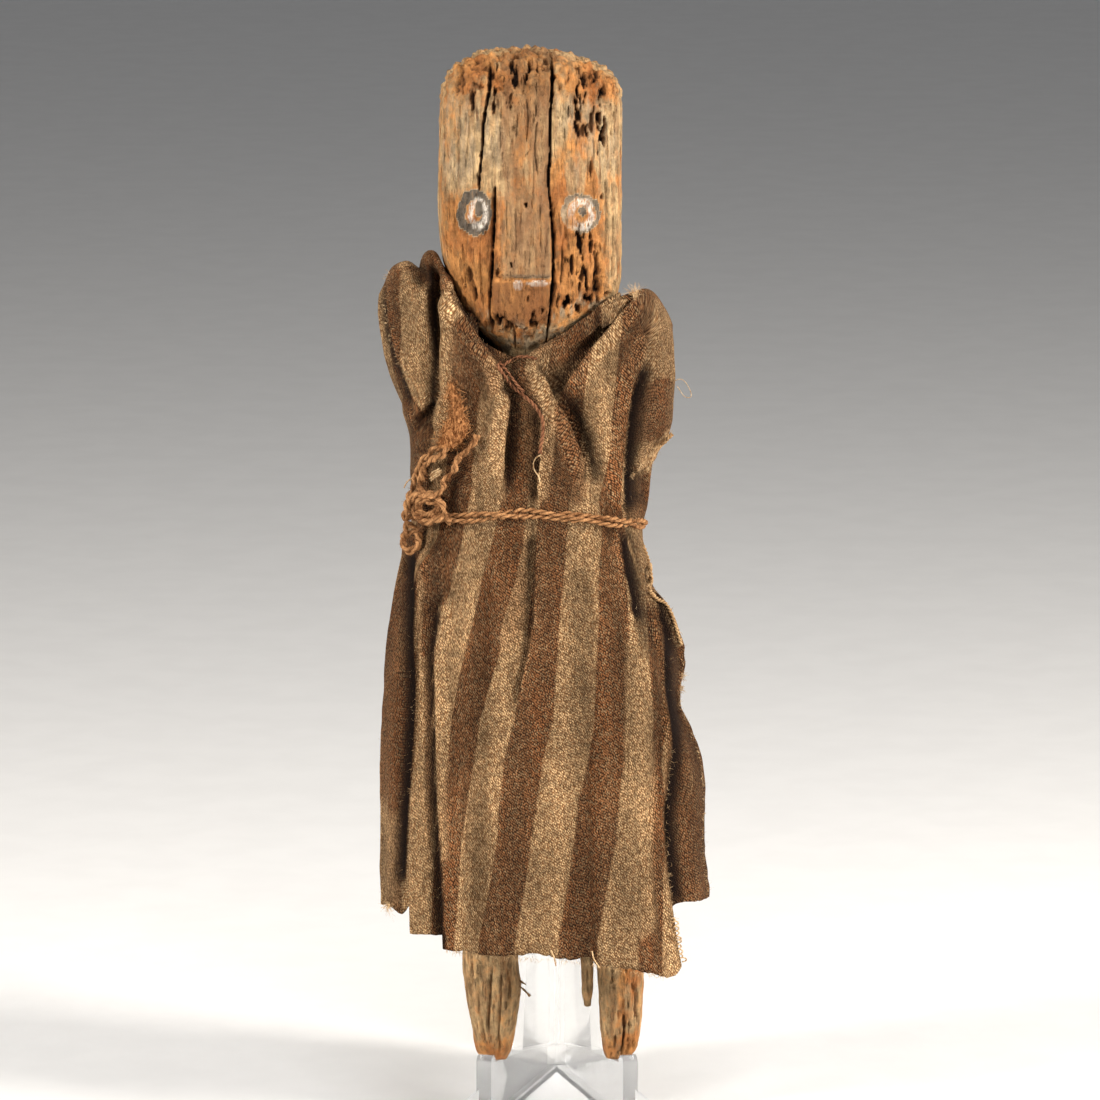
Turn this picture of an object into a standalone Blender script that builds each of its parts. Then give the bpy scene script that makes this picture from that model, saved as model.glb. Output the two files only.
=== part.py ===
"""A carved wooden burial figure in a striped wool tunic, leaning on a clear moulded easel.

Units are metres, +Z is up and the figure faces -Y. The origin is on the floor, under the easel's spine.
The figure and its cloth are modelled upright in a frame of their own: x to the viewer's right, y to the
figure's back, z up from the easel's ledges. An empty then leans that frame back against the easel.
"""

import math

import bmesh
import bpy
import numpy as np
from mathutils import Matrix, Vector
from mathutils.bvhtree import BVHTree

# Driving dimensions of the figure
FIGURE_HEIGHT = 0.330
LEAN = math.radians(8)
CLEARANCE = 0.0003

# The carving and the drapery are drawn in shares of the height, 330 of them, about 1 mm each.
SHARE = FIGURE_HEIGHT / 330

# Driving dimensions of the cloth and the cords
CLOTH_THICKNESS = 0.0016
BELT_DIAMETER = 0.0028
CORD_DIAMETER = 0.0014
THREAD_DIAMETER = 0.0011
TUFT_THICKNESS = 0.0034

# Driving dimensions of the easel
LEAF_THICKNESS = 0.0036
BASE_THICKNESS = 0.005
SPINE_WIDTH = 0.0066
SPINE_DEPTH = 0.0036
UPRIGHT_HEIGHT = 0.190
EDGE_SETBACK = 0.042
LEDGE_HEIGHT = 0.0203
BASE_HEIGHT = 0.008
HOOK_HEIGHT = 0.0022
HOOK_LENGTH = 0.005
HOOK_ROOM = 0.0015
TOE_REACH = 0.017
TOE_HEIGHT = 0.012
TOE_THICKNESS = 0.0036

# Resolution of the lofted forms
WOOD_COLUMNS = 28
TUNIC_COLUMNS = 48
TUNIC_WALL_ROWS = 16
TUNIC_CAP_ROWS = 6

# Sections of the head, neck and body, from below: height, left, right, front, back
BODY_SECTIONS = (
    (48, -30.0, 27.5, -14.5, 14.5),
    (60, -29.5, 26.5, -15.5, 15.5),
    (120, -28.5, 25.0, -16.0, 15.5),
    (180, -28.5, 22.5, -16.0, 15.5),
    (214, -29.0, 20.0, -15.5, 15.0),
    (221, -24.0, 12.0, -14.0, 14.0),
    (227, -20.0, 4.5, -12.5, 13.0),
    (232, -20.0, 3.0, -13.5, 15.0),
    (236, -22.5, 4.5, -17.0, 17.0),
    (241, -27.4, 10.6, -21.0, 18.4),
    (247, -31.5, 17.6, -22.6, 19.0),
    (253, -34.0, 20.3, -23.0, 19.0),
    (262, -36.8, 20.9, -23.0, 19.0),
    (274, -38.2, 20.9, -23.0, 19.0),
    (293, -38.2, 21.0, -23.0, 19.0),
    (311, -38.0, 21.2, -22.6, 18.8),
    (318, -36.8, 20.2, -21.8, 18.2),
    (322.5, -34.8, 16.8, -20.3, 17.0),
    (326, -30.5, 10.6, -17.5, 14.5),
    (328.6, -25.0, 2.5, -13.0, 10.5),
    (330, -15.0, -5.0, -5.0, 4.0),
)
BODY_ROUNDNESS = 4.0

# Sections of each stub leg, from the flat of the foot up into the body: height, left, right, front, back
LEFT_LEG_SECTIONS = (
    (0, -24.4, -16.8, -4.2, 4.4),
    (3, -26.4, -15.4, -6.0, 6.4),
    (9, -27.5, -14.0, -8.2, 8.2),
    (16, -28.9, -13.0, -9.2, 9.2),
    (24, -30.0, -12.0, -9.8, 10.0),
    (34, -30.8, -12.8, -10.4, 10.6),
    (56, -28.5, -9.0, -11.0, 11.0),
)
RIGHT_LEG_SECTIONS = (
    (0, 16.2, 23.4, -4.2, 4.4),
    (3, 15.2, 26.0, -6.0, 6.4),
    (9, 14.4, 27.2, -8.2, 8.2),
    (17, 14.0, 28.0, -9.4, 9.4),
    (28, 13.2, 28.2, -10.0, 10.2),
    (40, 11.5, 27.2, -10.6, 10.8),
    (56, 8.0, 25.5, -11.0, 11.0),
)
SPLINTER_SECTIONS = (
    (17.5, 9.0, 10.8, -4.4, -2.6),
    (22, 8.0, 11.4, -5.2, -1.8),
    (32, 7.6, 12.0, -5.6, -0.8),
    (56, 6.0, 12.4, -6.0, 2.0),
)
LEG_ROUNDNESS = 2.8
FOOT_SPACING = 40.2

# Relief of the face: left, right, bottom, top, and how far it stands proud at the bottom and at the top
FACE_PLANE = -23.0
NOSE_PLANK = (-20.6, -2.4, 255.5, 306.0, 2.2, 0.2)
CHIN_BLOCK = (-21.4, -2.2, 239.5, 252.5, 0.8, 1.6)
RELIEF_ROOT = 6.0

# The two long splits beside the nose, down the front of the head: across, height
LEFT_SPLIT = ((-20.9, 327), (-23.4, 313), (-24.6, 300), (-25.0, 285), (-21.0, 272), (-21.6, 250), (-21.4, 237))
RIGHT_SPLIT = ((-1.4, 327), (-2.0, 306), (-2.4, 281), (-1.4, 264), (-2.0, 249), (-3.4, 238))
SPLIT_WIDTH = 1.7
SPLIT_DEPTH = 5.0

# Sections of the tunic: height, left and right at the back, left and right at the front, front, back
TUNIC_SECTIONS = (
    (24, -54.0, 48.5, -41.5, 40.0, -33.0, 22.0),
    (50, -57.0, 49.4, -43.5, 38.0, -33.0, 22.0),
    (72, -58.0, 48.2, -44.5, 36.8, -32.5, 22.0),
    (97, -58.0, 46.8, -45.2, 36.0, -31.0, 22.0),
    (120, -56.2, 42.2, -45.2, 33.6, -29.0, 22.0),
    (143, -53.6, 39.0, -44.8, 29.6, -26.5, 21.5),
    (162, -51.0, 33.0, -43.8, 26.4, -24.2, 20.5),
    (171, -46.8, 29.2, -41.8, 24.4, -22.8, 19.6),
    (177.5, -44.2, 27.8, -40.6, 23.4, -21.8, 19.0),
    (184, -45.0, 28.8, -41.4, 24.6, -22.2, 19.4),
    (194, -46.6, 32.0, -42.6, 27.4, -22.6, 20.2),
    (203, -47.8, 35.4, -43.4, 29.6, -22.8, 21.0),
    (214, -50.2, 37.6, -44.6, 31.6, -22.8, 21.6),
    (230, -55.2, 37.8, -46.6, 32.0, -22.2, 22.0),
    (243, -57.4, 35.8, -47.6, 31.0, -21.4, 22.0),
    (256, -56.8, 31.0, -47.0, 28.0, -20.4, 21.0),
)
TUNIC_ROUNDNESS = 3.4
FRONT_CROWDING = 1.7

# Hem line and shoulder line of the tunic
FRONT_HEM = ((-37, 39.5), (-26, 37.0), (-4, 37.5), (10, 36.0), (28, 31.5), (38, 30.0))
BACK_HEM = ((-57, 50.0), (-47, 48.0), (-40, 50.0), (30, 51.0), (49, 52.0))
SHOULDER_LEFT = 250.0
SHOULDER_RIGHT = 240.0
SHOULDER_LIFT_LEFT = 8.0
SHOULDER_LIFT_RIGHT = 5.5

# Neck opening of the tunic: its sides, front and back, and the height of its front edge
NECK_LEFT = -36.6
NECK_RIGHT = 25.0
NECK_FRONT = -20.6
NECK_BACK = 21.0
NECK_BACK_HEIGHT = 246.0
NECK_EDGE = (
    (-37, 250),
    (-30, 240.5),
    (-22, 233.5),
    (-13, 229),
    (-4, 232),
    (7.5, 236.5),
    (14, 239.5),
    (25, 248.5),
)

# Folds of the cloth: start across and height, end across and height, width, height of the fold, and
# whether it runs right through from front to back, as the puffs of a shoulder do
TUNIC_FOLDS = (
    ("puff over the left arm", -51.0, 259, -51.0, 254, 2.6, 2.6, True),
    ("puff beside the head", -42.4, 261, -42.4, 254, 2.6, 3.6, True),
    ("dip between the puffs", -46.8, 259, -46.8, 252, 1.8, -1.6, True),
    ("puff over the right arm", 32.0, 246, 32.0, 240, 4.0, 1.6, True),
    ("deep crease inside the left arm", -40.6, 254, -40.6, 206, 2.4, -2.6, False),
    ("edge of the left flap", -36.0, 244, -38.6, 200, 2.2, 1.6, False),
    ("left edge of the neck slit", -35.0, 244, -18.6, 219, 2.4, 1.8, False),
    ("groove under the neck slit", -15.2, 216, -16.4, 196, 2.2, -2.2, False),
    ("right edge of the neck slit", 22.6, 243, 3.0, 218, 2.8, 2.0, False),
    ("hollow inside the right edge", 6.0, 230, -4.0, 220, 4.0, -1.8, False),
    ("edge of the crossed flap", -5.6, 224, 7.6, 196, 2.4, 1.5, False),
    ("fold edge down to the belt", -5.6, 208, -7.4, 182, 1.8, 1.3, False),
    ("fold edge under the belt", -7.6, 168, -14.6, 114, 2.2, 1.5, False),
    ("crease inside the right arm", 27.6, 230, 22.4, 192, 2.4, -2.8, False),
    ("outer fold of the left arm", -51.0, 236, -45.6, 205, 2.6, 1.4, False),
    ("groove beside the front panel", -39.2, 166, -37.8, 38, 2.4, -3.6, False),
    ("left edge of the front panel", -34.6, 160, -35.0, 38, 2.6, 1.6, False),
    ("second pleat", -44.2, 164, -45.4, 42, 2.4, 1.8, False),
    ("groove behind the second pleat", -48.8, 156, -48.6, 50, 2.0, -2.2, False),
    ("soft fold in the panel", -26.0, 160, -20.0, 60, 4.0, 0.9, False),
    ("ridge on the right of the panel", 24.6, 162, 29.4, 50, 3.0, 1.8, False),
    ("outer ridge on the right", 31.6, 150, 35.0, 44, 2.4, 1.2, False),
    ("open slit on the right", 31.0, 160, 39.6, 56, 2.4, -3.0, False),
)

# Belt: height of its middle on the left and on the right
BELT_LEFT_HEIGHT = 178.4
BELT_RIGHT_HEIGHT = 176.2
BELT_POINTS = 44

# Free end of the belt cord. The loop under the belt: its way in, its ring, and its way up: across, height
LOOP_ENTRY = ((-41.8, 174.4), (-43.3, 173.4))
LOOP_CENTRE = (-47.2, 170.6)
LOOP_RADIUS = 3.1
LOOP_TURNS = 1.6
LOOP_STEPS_PER_TURN = 14

# The coil on the belt: its middle, its width and height, and the thickness of its ring
COIL_CENTRE = (-42.4, 182.4)
COIL_WIDTH = 16.2
COIL_HEIGHT = 11.6
COIL_RING = 4.4

# The strands above the coil, up to the tuft, round and down to where they enter a fold
STRAND_ROUTE = (
    (-47.0, 189.0),
    (-47.4, 191.8),
    (-46.4, 195.0),
    (-45.4, 198.0),
    (-43.6, 200.6),
    (-41.6, 203.0),
    (-39.8, 204.8),
    (-37.2, 205.4),
    (-34.6, 204.2),
    (-33.6, 201.6),
    (-35.0, 199.2),
    (-37.8, 198.2),
    (-40.0, 196.2),
    (-40.2, 193.4),
    (-38.0, 191.8),
    (-35.4, 193.0),
    (-33.4, 195.6),
    (-31.2, 198.2),
    (-28.2, 200.6),
    (-26.0, 203.0),
    (-24.8, 205.6),
)

# The reddish thread from the neck slit
THREAD_ROUTE = (
    (-19.2, 225.4),
    (-17.4, 222.0),
    (-14.7, 218.6),
    (-11.4, 216.0),
    (-7.8, 213.0),
    (-5.2, 210.0),
    (-4.4, 206.6),
    (-4.9, 203.2),
    (-5.6, 200.2),
    (-6.2, 197.4),
)

# The wool tuft on the chest: across and height of its middle, its width at the foot and top, its height
TUFT_CENTRE = (-33.6, 214.4)
TUFT_FOOT_WIDTH = 10.0
TUFT_TOP_WIDTH = 4.6
TUFT_HEIGHT = 16.0

# Depths that the figure and the easel share
FOOT_SETBACK = EDGE_SETBACK + TUNIC_SECTIONS[0][-1] * SHARE + CLEARANCE
SPREAD = math.atan2(FOOT_SPACING / 2 * SHARE, FOOT_SETBACK)

# Colours, roughness and metallic value of each material
FINISHES = {
    "weathered_wood": ((0.42, 0.23, 0.10, 1.0), 0.85, 0.0),
    "striped_wool": ((0.30, 0.18, 0.09, 1.0), 0.95, 0.0),
    "belt_wool": ((0.36, 0.19, 0.10, 1.0), 0.95, 0.0),
    "reddish_wool": ((0.33, 0.15, 0.10, 1.0), 0.95, 0.0),
    "orange_wool": ((0.50, 0.24, 0.09, 1.0), 0.95, 0.0),
    "clear_plastic": ((0.90, 0.93, 0.95, 0.35), 0.08, 0.0),
}


def clear_scene():
    """Remove what the file holds before the part is built."""
    for item in list(bpy.data.objects):
        bpy.data.objects.remove(item, do_unlink=True)


def collection(name):
    """A new collection in the scene."""
    group = bpy.data.collections.new(name)
    bpy.context.scene.collection.children.link(group)
    return group


def material(name):
    """The Principled material of one finish."""
    colour, roughness, metallic = FINISHES[name]
    made = bpy.data.materials.new(name)
    made.use_nodes = True
    shader = made.node_tree.nodes["Principled BSDF"]
    shader.inputs["Base Color"].default_value = colour
    shader.inputs["Roughness"].default_value = roughness
    shader.inputs["Metallic"].default_value = metallic
    shader.inputs["Alpha"].default_value = colour[3]
    made.diffuse_color = colour
    return made


def flowing(rows, steps):
    """Points on a smooth curve through every row of a table, with this many steps from row to row."""
    rows = np.asarray(rows, float)
    padded = np.vstack([2 * rows[0] - rows[1], rows, 2 * rows[-1] - rows[-2]])
    t = (np.arange(steps) / steps)[:, None]
    stretches = []
    for before, start, end, after in zip(padded, padded[1:], padded[2:], padded[3:]):
        stretches.append(
            start
            + (end - before) * t / 2
            + (2 * before - 5 * start + 4 * end - after) * t**2 / 2
            + (3 * start - before - 3 * end + after) * t**3 / 2
        )
    return np.vstack(stretches + [rows[-1:]])


def read_curve(rows, at, column=1):
    """The value of one column of a table at the places in its first column, smoothed."""
    dense = flowing(rows, 8)
    return np.interp(at, dense[:, 0], dense[:, column])


def smooth_step(value, low, high):
    """0 below low, 1 above high, and an S between them."""
    t = np.clip((value - low) / (high - low), 0, 1)
    return t * t * (3 - 2 * t)


def rounded_square(angles, roundness):
    """Across and depth, each -1 to 1, of a square with round corners: 2 is a circle, more is squarer."""
    power = 2 / roundness
    across = np.sign(np.cos(angles)) * np.abs(np.cos(angles)) ** power
    deep = np.sign(np.sin(angles)) * np.abs(np.sin(angles)) ** power
    return across, deep


def even_angles(count, roundness, wide, deep, crowding=1.0):
    """Angles that space points evenly round such a square, crowded at its front."""
    turn = np.linspace(0, 2 * math.pi, 1441)
    x, y = rounded_square(turn, roundness)
    run = np.hypot(np.diff(x) * wide, np.diff(y) * deep)
    run = run * np.where(y[1:] < -0.2, crowding, 1.0)
    along = np.concatenate([[0], np.cumsum(run)])
    return np.interp(np.arange(count) / count * along[-1], along, turn)


def grid_faces(rows, columns):
    """Quads between the rows of a closed tube of points."""
    faces = []
    for row in range(rows - 1):
        for column in range(columns):
            beside = (column + 1) % columns
            faces.append(
                (
                    row * columns + column,
                    row * columns + beside,
                    (row + 1) * columns + beside,
                    (row + 1) * columns + column,
                )
            )
    return faces


def mesh_object(name, points, faces, group):
    """An object made of these points and faces, shaded smooth."""
    mesh = bpy.data.meshes.new(name)
    mesh.from_pydata([tuple(point) for point in points], [], faces)
    mesh.update()
    mesh.shade_smooth()
    made = bpy.data.objects.new(name, mesh)
    group.objects.link(made)
    return made


def loft(name, sections, roundness, columns, steps, group):
    """A closed solid through rounded sections: height, left, right, front, back in shares."""
    rows = flowing(sections, steps) * SHARE
    height, left, right, front, back = rows.T[:, :, None]
    wide = np.ptp(rows[:, 1:3]) / 2
    deep = np.ptp(rows[:, 3:5]) / 2
    across, depth = rounded_square(even_angles(columns, roundness, wide, deep), roundness)
    x = (left + right) / 2 + (right - left) / 2 * across
    y = (front + back) / 2 + (back - front) / 2 * depth
    z = np.broadcast_to(height, x.shape)
    points = np.stack([x, y, z], axis=-1).reshape(-1, 3)
    faces = grid_faces(len(rows), columns)
    faces.append(tuple(reversed(range(columns))))
    faces.append(tuple((len(rows) - 1) * columns + column for column in range(columns)))
    return mesh_object(name, points, faces, group)


def mesh_from_curve(curve, group):
    """The welded mesh of a curve object, which takes the curve's place."""
    bpy.context.view_layer.update()
    evaluated = curve.evaluated_get(bpy.context.evaluated_depsgraph_get())
    mesh = bpy.data.meshes.new_from_object(evaluated)
    mesh.transform(curve.matrix_world)
    name = curve.name
    bpy.data.objects.remove(curve, do_unlink=True)
    welded = bmesh.new()
    welded.from_mesh(mesh)
    bmesh.ops.remove_doubles(welded, verts=welded.verts, dist=1e-6)
    bmesh.ops.recalc_face_normals(welded, faces=welded.faces)
    welded.to_mesh(mesh)
    welded.free()
    made = bpy.data.objects.new(name, mesh)
    made.data.materials.clear()
    group.objects.link(made)
    return made


def plate(name, outline, thickness, turned, group):
    """A flat outline extruded to a thickness, its own plane and place set by a matrix."""
    data = bpy.data.curves.new(name, "CURVE")
    data.dimensions = "2D"
    data.fill_mode = "BOTH"
    data.extrude = thickness / 2
    line = data.splines.new("POLY")
    line.points.add(len(outline) - 1)
    for point, (x, y) in zip(line.points, outline):
        point.co = (x, y, 0, 1)
    line.use_cyclic_u = True
    curve = bpy.data.objects.new(name, data)
    group.objects.link(curve)
    curve.matrix_world = turned
    return mesh_from_curve(curve, group)


def tube(name, points, diameter, sides_level, group, closed=False):
    """A cord along a line of points, with round or joined ends."""
    data = bpy.data.curves.new(name, "CURVE")
    data.dimensions = "3D"
    data.bevel_depth = diameter / 2
    data.bevel_resolution = sides_level
    data.use_fill_caps = not closed
    line = data.splines.new("POLY")
    line.points.add(len(points) - 1)
    for point, place in zip(line.points, points):
        point.co = (*place, 1)
    line.use_cyclic_u = closed
    made = bpy.data.objects.new(name, data)
    group.objects.link(made)
    return made


def combine(target, cutter, operation, solver="EXACT"):
    """A Boolean of the cutter on the target, which the cutter moves with, hidden from renders."""
    cutter.parent = target
    cutter.hide_render = True
    cutter.display_type = "WIRE"
    boolean = target.modifiers.new(cutter.name, "BOOLEAN")
    boolean.operation = operation
    boolean.solver = solver
    boolean.object = cutter


def wedge(name, relief, group):
    """A tapered block on the face plane, rooted in the head: one raised area of the carving."""
    left, right, bottom, top, proud_bottom, proud_top = relief
    body = bmesh.new()
    bmesh.ops.create_cube(body, size=2)
    for corner in body.verts:
        upper = corner.co.z > 0
        front = corner.co.y < 0
        proud = proud_top if upper else proud_bottom
        corner.co.x = right if corner.co.x > 0 else left
        corner.co.y = FACE_PLANE - proud if front else FACE_PLANE + RELIEF_ROOT
        corner.co.z = top if upper else bottom
        corner.co *= SHARE
    edges = [edge for edge in body.edges if all(corner.co.y < FACE_PLANE * SHARE for corner in edge.verts)]
    bmesh.ops.bevel(body, geom=edges, offset=0.9 * SHARE, segments=2, profile=0.5, affect="EDGES")
    mesh = bpy.data.meshes.new(name)
    body.to_mesh(mesh)
    body.free()
    made = bpy.data.objects.new(name, mesh)
    group.objects.link(made)
    return made


def split_outline(route):
    """The outline of a split that runs to a point at both ends."""
    line = flowing(route, 2)
    ahead = np.gradient(line, axis=0)
    side = np.stack([-ahead[:, 1], ahead[:, 0]], axis=1)
    side /= np.linalg.norm(side, axis=1)[:, None]
    share = np.linspace(0, 1, len(line))
    half = SPLIT_WIDTH / 2 * np.sqrt(np.clip(np.sin(share * math.pi), 0, 1))[:, None]
    near = line + side * half
    far = line - side * half
    return np.vstack([near[:1], near[1:-1], far[-1:], far[-2:0:-1]]) * SHARE


def face_on(depth):
    """The matrix that stands an outline up, facing the front, at a depth."""
    return Matrix.Translation((0, depth * SHARE, 0)) @ Matrix.Rotation(math.pi / 2, 4, "X")


def carved_figure(part, cutters):
    """The wood: body and head lofted as one, legs, splinter, face relief and the two long splits."""
    wood = loft("carved_wooden_figure", BODY_SECTIONS, BODY_ROUNDNESS, WOOD_COLUMNS, 2, part)
    wood.data.materials.append(material("weathered_wood"))
    legs = (
        ("left_leg", LEFT_LEG_SECTIONS, 16),
        ("right_leg", RIGHT_LEG_SECTIONS, 16),
        ("splinter", SPLINTER_SECTIONS, 8),
    )
    for name, sections, columns in legs:
        leg = loft(name, sections, LEG_ROUNDNESS, columns, 1, cutters)
        combine(wood, leg, "UNION")
    for name, relief in (("nose_plank", NOSE_PLANK), ("chin_block", CHIN_BLOCK)):
        combine(wood, wedge(name, relief, cutters), "UNION")
    for name, route in (("left_split", LEFT_SPLIT), ("right_split", RIGHT_SPLIT)):
        cutter = plate(
            name, split_outline(route), 2 * SPLIT_DEPTH * SHARE, face_on(FACE_PLANE), cutters
        )
        combine(wood, cutter, "DIFFERENCE")
    return wood


def fold_relief(x, z, facing):
    """How far the folds push the cloth out, from the distance of each point to each fold's line."""
    relief = np.zeros_like(x)
    for _, x0, z0, x1, z1, width, height, through in TUNIC_FOLDS:
        run = np.array([x1 - x0, z1 - z0], float)
        t = ((x - x0) * run[0] + (z - z0) * run[1]) / (run @ run)
        t = np.clip(t, 0, 1)
        distance = np.hypot(x - x0 - t * run[0], z - z0 - t * run[1])
        strength = np.exp(-((distance / width) ** 2))
        if not through:
            strength = strength * smooth_step(facing, 0.05, 0.45)
        relief += height * strength
    return relief


def tunic_points():
    """The outside of the tunic as rows of points, from the hem up the walls and over to the neck edge.

    Each column has its own hem and top. The section table gives the wall at a height, wider at the back
    than at the front, and the last rows arch over the shoulders to the neck opening.
    """
    widest = 50.0
    deepest = 27.0
    angles = even_angles(TUNIC_COLUMNS, TUNIC_ROUNDNESS, widest, deepest, FRONT_CROWDING)
    across, deep = rounded_square(angles, TUNIC_ROUNDNESS)
    towards_back = (deep + 1) / 2
    sections = flowing(TUNIC_SECTIONS, 8)

    def wall(height):
        values = [np.interp(height, sections[:, 0], sections[:, k]) for k in range(1, 7)]
        left_back, right_back, left_front, right_front, front, back = values
        left = left_front + (left_back - left_front) * smooth_step(towards_back, 0, 0.75)
        right = right_front + (right_back - right_front) * smooth_step(towards_back, 0, 0.75)
        x = (left + right) / 2 + (right - left) / 2 * across
        y = np.where(deep < 0, -front, back) * deep
        return np.stack([x, y, np.broadcast_to(height, x.shape)], axis=-1)

    neck_x = (NECK_LEFT + NECK_RIGHT) / 2 + (NECK_RIGHT - NECK_LEFT) / 2 * across
    neck_y = np.where(deep < 0, -NECK_FRONT, NECK_BACK) * deep
    front_edge = read_curve(NECK_EDGE, neck_x)
    neck_z = front_edge + (NECK_BACK_HEIGHT - front_edge) * smooth_step(towards_back, 0.5, 0.8)
    neck = np.stack([neck_x, neck_y, neck_z], axis=-1)

    mean = wall(np.full(TUNIC_COLUMNS, 40.0))
    front_hem = read_curve(FRONT_HEM, mean[:, 0])
    back_hem = read_curve(BACK_HEM, mean[:, 0])
    hem = front_hem + (back_hem - front_hem) * smooth_step(towards_back, 0.2, 0.55)
    side = smooth_step(np.abs(across), 0.5, 0.95)
    shoulder = np.where(across < 0, SHOULDER_LEFT, SHOULDER_RIGHT)
    lift = np.where(across < 0, SHOULDER_LIFT_LEFT, SHOULDER_LIFT_RIGHT)
    top = (neck_z - 1.2) * (1 - side) + shoulder * side

    rows = [wall(hem + (top - hem) * share) for share in np.linspace(0, 1, TUNIC_WALL_ROWS)]
    edge = rows[-1]
    for share in np.linspace(0, 1, TUNIC_CAP_ROWS + 1)[1:]:
        row = edge + (neck - edge) * share
        row[:, 2] += lift * side * 4 * share * (1 - share)
        rows.append(row)
    points = np.array(rows)

    around = np.roll(points, -1, axis=1) - np.roll(points, 1, axis=1)
    upward = np.gradient(points, axis=0)
    normal = np.cross(around, upward)
    normal /= np.linalg.norm(normal, axis=2)[:, :, None]
    edges = np.ones(len(points))
    edges[-1] = 0.2
    relief = fold_relief(points[:, :, 0], points[:, :, 2], -normal[:, :, 1])
    belt = np.abs(points[:, :, 2] - (BELT_LEFT_HEIGHT + BELT_RIGHT_HEIGHT) / 2)
    relief *= smooth_step(belt, 1.0, 9.0) * edges[:, None]
    back_limit = TUNIC_SECTIONS[0][-1]
    points = points + normal * relief[:, :, None]
    points[:, :, 1] = np.minimum(points[:, :, 1], back_limit)
    return points * SHARE


def striped_tunic(part):
    """The tunic as a shell of the cloth's thickness, and its surface for what lies on it."""
    points = tunic_points()
    rows, columns, _ = points.shape
    faces = grid_faces(rows, columns)
    tunic = mesh_object("striped_wool_tunic", points.reshape(-1, 3), faces, part)
    tunic.data.materials.append(material("striped_wool"))
    shell = tunic.modifiers.new("cloth", "SOLIDIFY")
    shell.thickness = CLOTH_THICKNESS
    shell.offset = -1
    surface = BVHTree.FromPolygons([Vector(point) for point in points.reshape(-1, 3)], faces)
    return tunic, surface


def belt_cord(part, surface):
    """The belt: a closed cord that touches the tunic all round, a clearance off the cloth."""
    middle = Vector((-8 * SHARE, 0, 0))
    far = 0.2
    reach = []
    places = []
    for turn in np.arange(BELT_POINTS) / BELT_POINTS * 2 * math.pi:
        outward = Vector((math.cos(turn), math.sin(turn), 0))
        slope = smooth_step(outward.x, -1, 1)
        height = (BELT_LEFT_HEIGHT + (BELT_RIGHT_HEIGHT - BELT_LEFT_HEIGHT) * slope) * SHARE
        runs = []
        for rise in (-BELT_DIAMETER / 2, 0, BELT_DIAMETER / 2):
            start = middle + outward * far + Vector((0, 0, height + rise))
            hit = surface.ray_cast(start, -outward)
            runs.append(far - hit[3])
        reach.append(max(runs))
        places.append((outward, height))
    points = []
    for index, (outward, height) in enumerate(places):
        run = max(reach[index - 1], reach[index], reach[(index + 1) % BELT_POINTS])
        off = run + BELT_DIAMETER / 2 + 2 * CLEARANCE
        points.append(middle + outward * off + Vector((0, 0, height)))
    belt = tube("belt_cord", points, BELT_DIAMETER, 1, part, closed=True)
    belt.data.materials.append(material("belt_wool"))
    return belt, points


def on_cloth(surface, route, lift):
    """A route of across and height laid on the front of the cloth, lifted off it, bridging its creases."""
    line = flowing(route, 2) * SHARE
    depth = []
    inside = TUNIC_SECTIONS[8][3] * SHARE
    for x, z in line:
        hit = surface.ray_cast(Vector((max(x, inside), -0.1, z)), Vector((0, 1, 0)))
        depth.append(hit[0].y)
    depth = np.array(depth)
    padded = np.pad(depth, 2, mode="edge")
    bridged = np.min([padded[k : k + len(depth)] for k in range(5)], axis=0)
    padded = np.pad(bridged, 1, mode="edge")
    eased = (padded[:-2] + padded[1:-1] + padded[2:]) / 3
    eased = np.minimum(eased, depth) - lift
    return np.stack([line[:, 0], eased, line[:, 1]], axis=1)


def belt_tangle(part, surface, belt_points):
    """The free end of the belt cord: a loop below, the coil's outer shape, and the strands above."""
    coil_x, coil_z = COIL_CENTRE
    coil_edge = (coil_x + COIL_WIDTH / 2) * SHARE + 2 * BELT_DIAMETER
    belt_front = min(point.y for point in belt_points if point.x < coil_edge) - BELT_DIAMETER / 2
    coil_y = belt_front - CLEARANCE - COIL_RING / 2 * SHARE
    major = (COIL_WIDTH - COIL_RING) / 2 * SHARE
    bpy.ops.mesh.primitive_torus_add(
        major_segments=20,
        minor_segments=8,
        major_radius=major,
        minor_radius=COIL_RING / 2 * SHARE,
        location=(0, 0, 0),
    )
    coil = bpy.context.object
    coil.name = "belt_cord_coil"
    squeeze = Matrix.Diagonal((1, COIL_HEIGHT / COIL_WIDTH, 1, 1))
    upright = Matrix.Rotation(math.pi / 2, 4, "X")
    place = Matrix.Translation((coil_x * SHARE, coil_y, coil_z * SHARE))
    coil.data.transform(place @ upright @ squeeze)
    coil.data.shade_smooth()
    for group in list(coil.users_collection):
        group.objects.unlink(coil)
    part.objects.link(coil)

    loop_x, loop_z = LOOP_CENTRE
    steps = round(LOOP_TURNS * LOOP_STEPS_PER_TURN)
    start = math.radians(35)
    ring = []
    for step in range(steps + 1):
        turn = start - 2 * math.pi * step / LOOP_STEPS_PER_TURN
        ring.append((loop_x + LOOP_RADIUS * math.cos(turn), loop_z + LOOP_RADIUS * math.sin(turn)))
    route = np.array(list(LOOP_ENTRY) + ring) * SHARE
    ahead = np.linspace(0, 1, len(route)) * LOOP_TURNS * (CORD_DIAMETER + 2 * CLEARANCE)
    loop_points = np.stack([route[:, 0], coil_y + COIL_RING / 4 * SHARE - ahead, route[:, 1]], axis=1)
    loop = tube("belt_cord_loop", loop_points, CORD_DIAMETER, 2, part)

    strand_points = on_cloth(surface, STRAND_ROUTE, CORD_DIAMETER / 2 + 3 * CLEARANCE)
    strands = tube("belt_cord_strands", strand_points, CORD_DIAMETER, 2, part)
    for piece in (coil, loop, strands):
        piece.data.materials.append(material("belt_wool"))
    return [coil, loop, strands]


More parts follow.
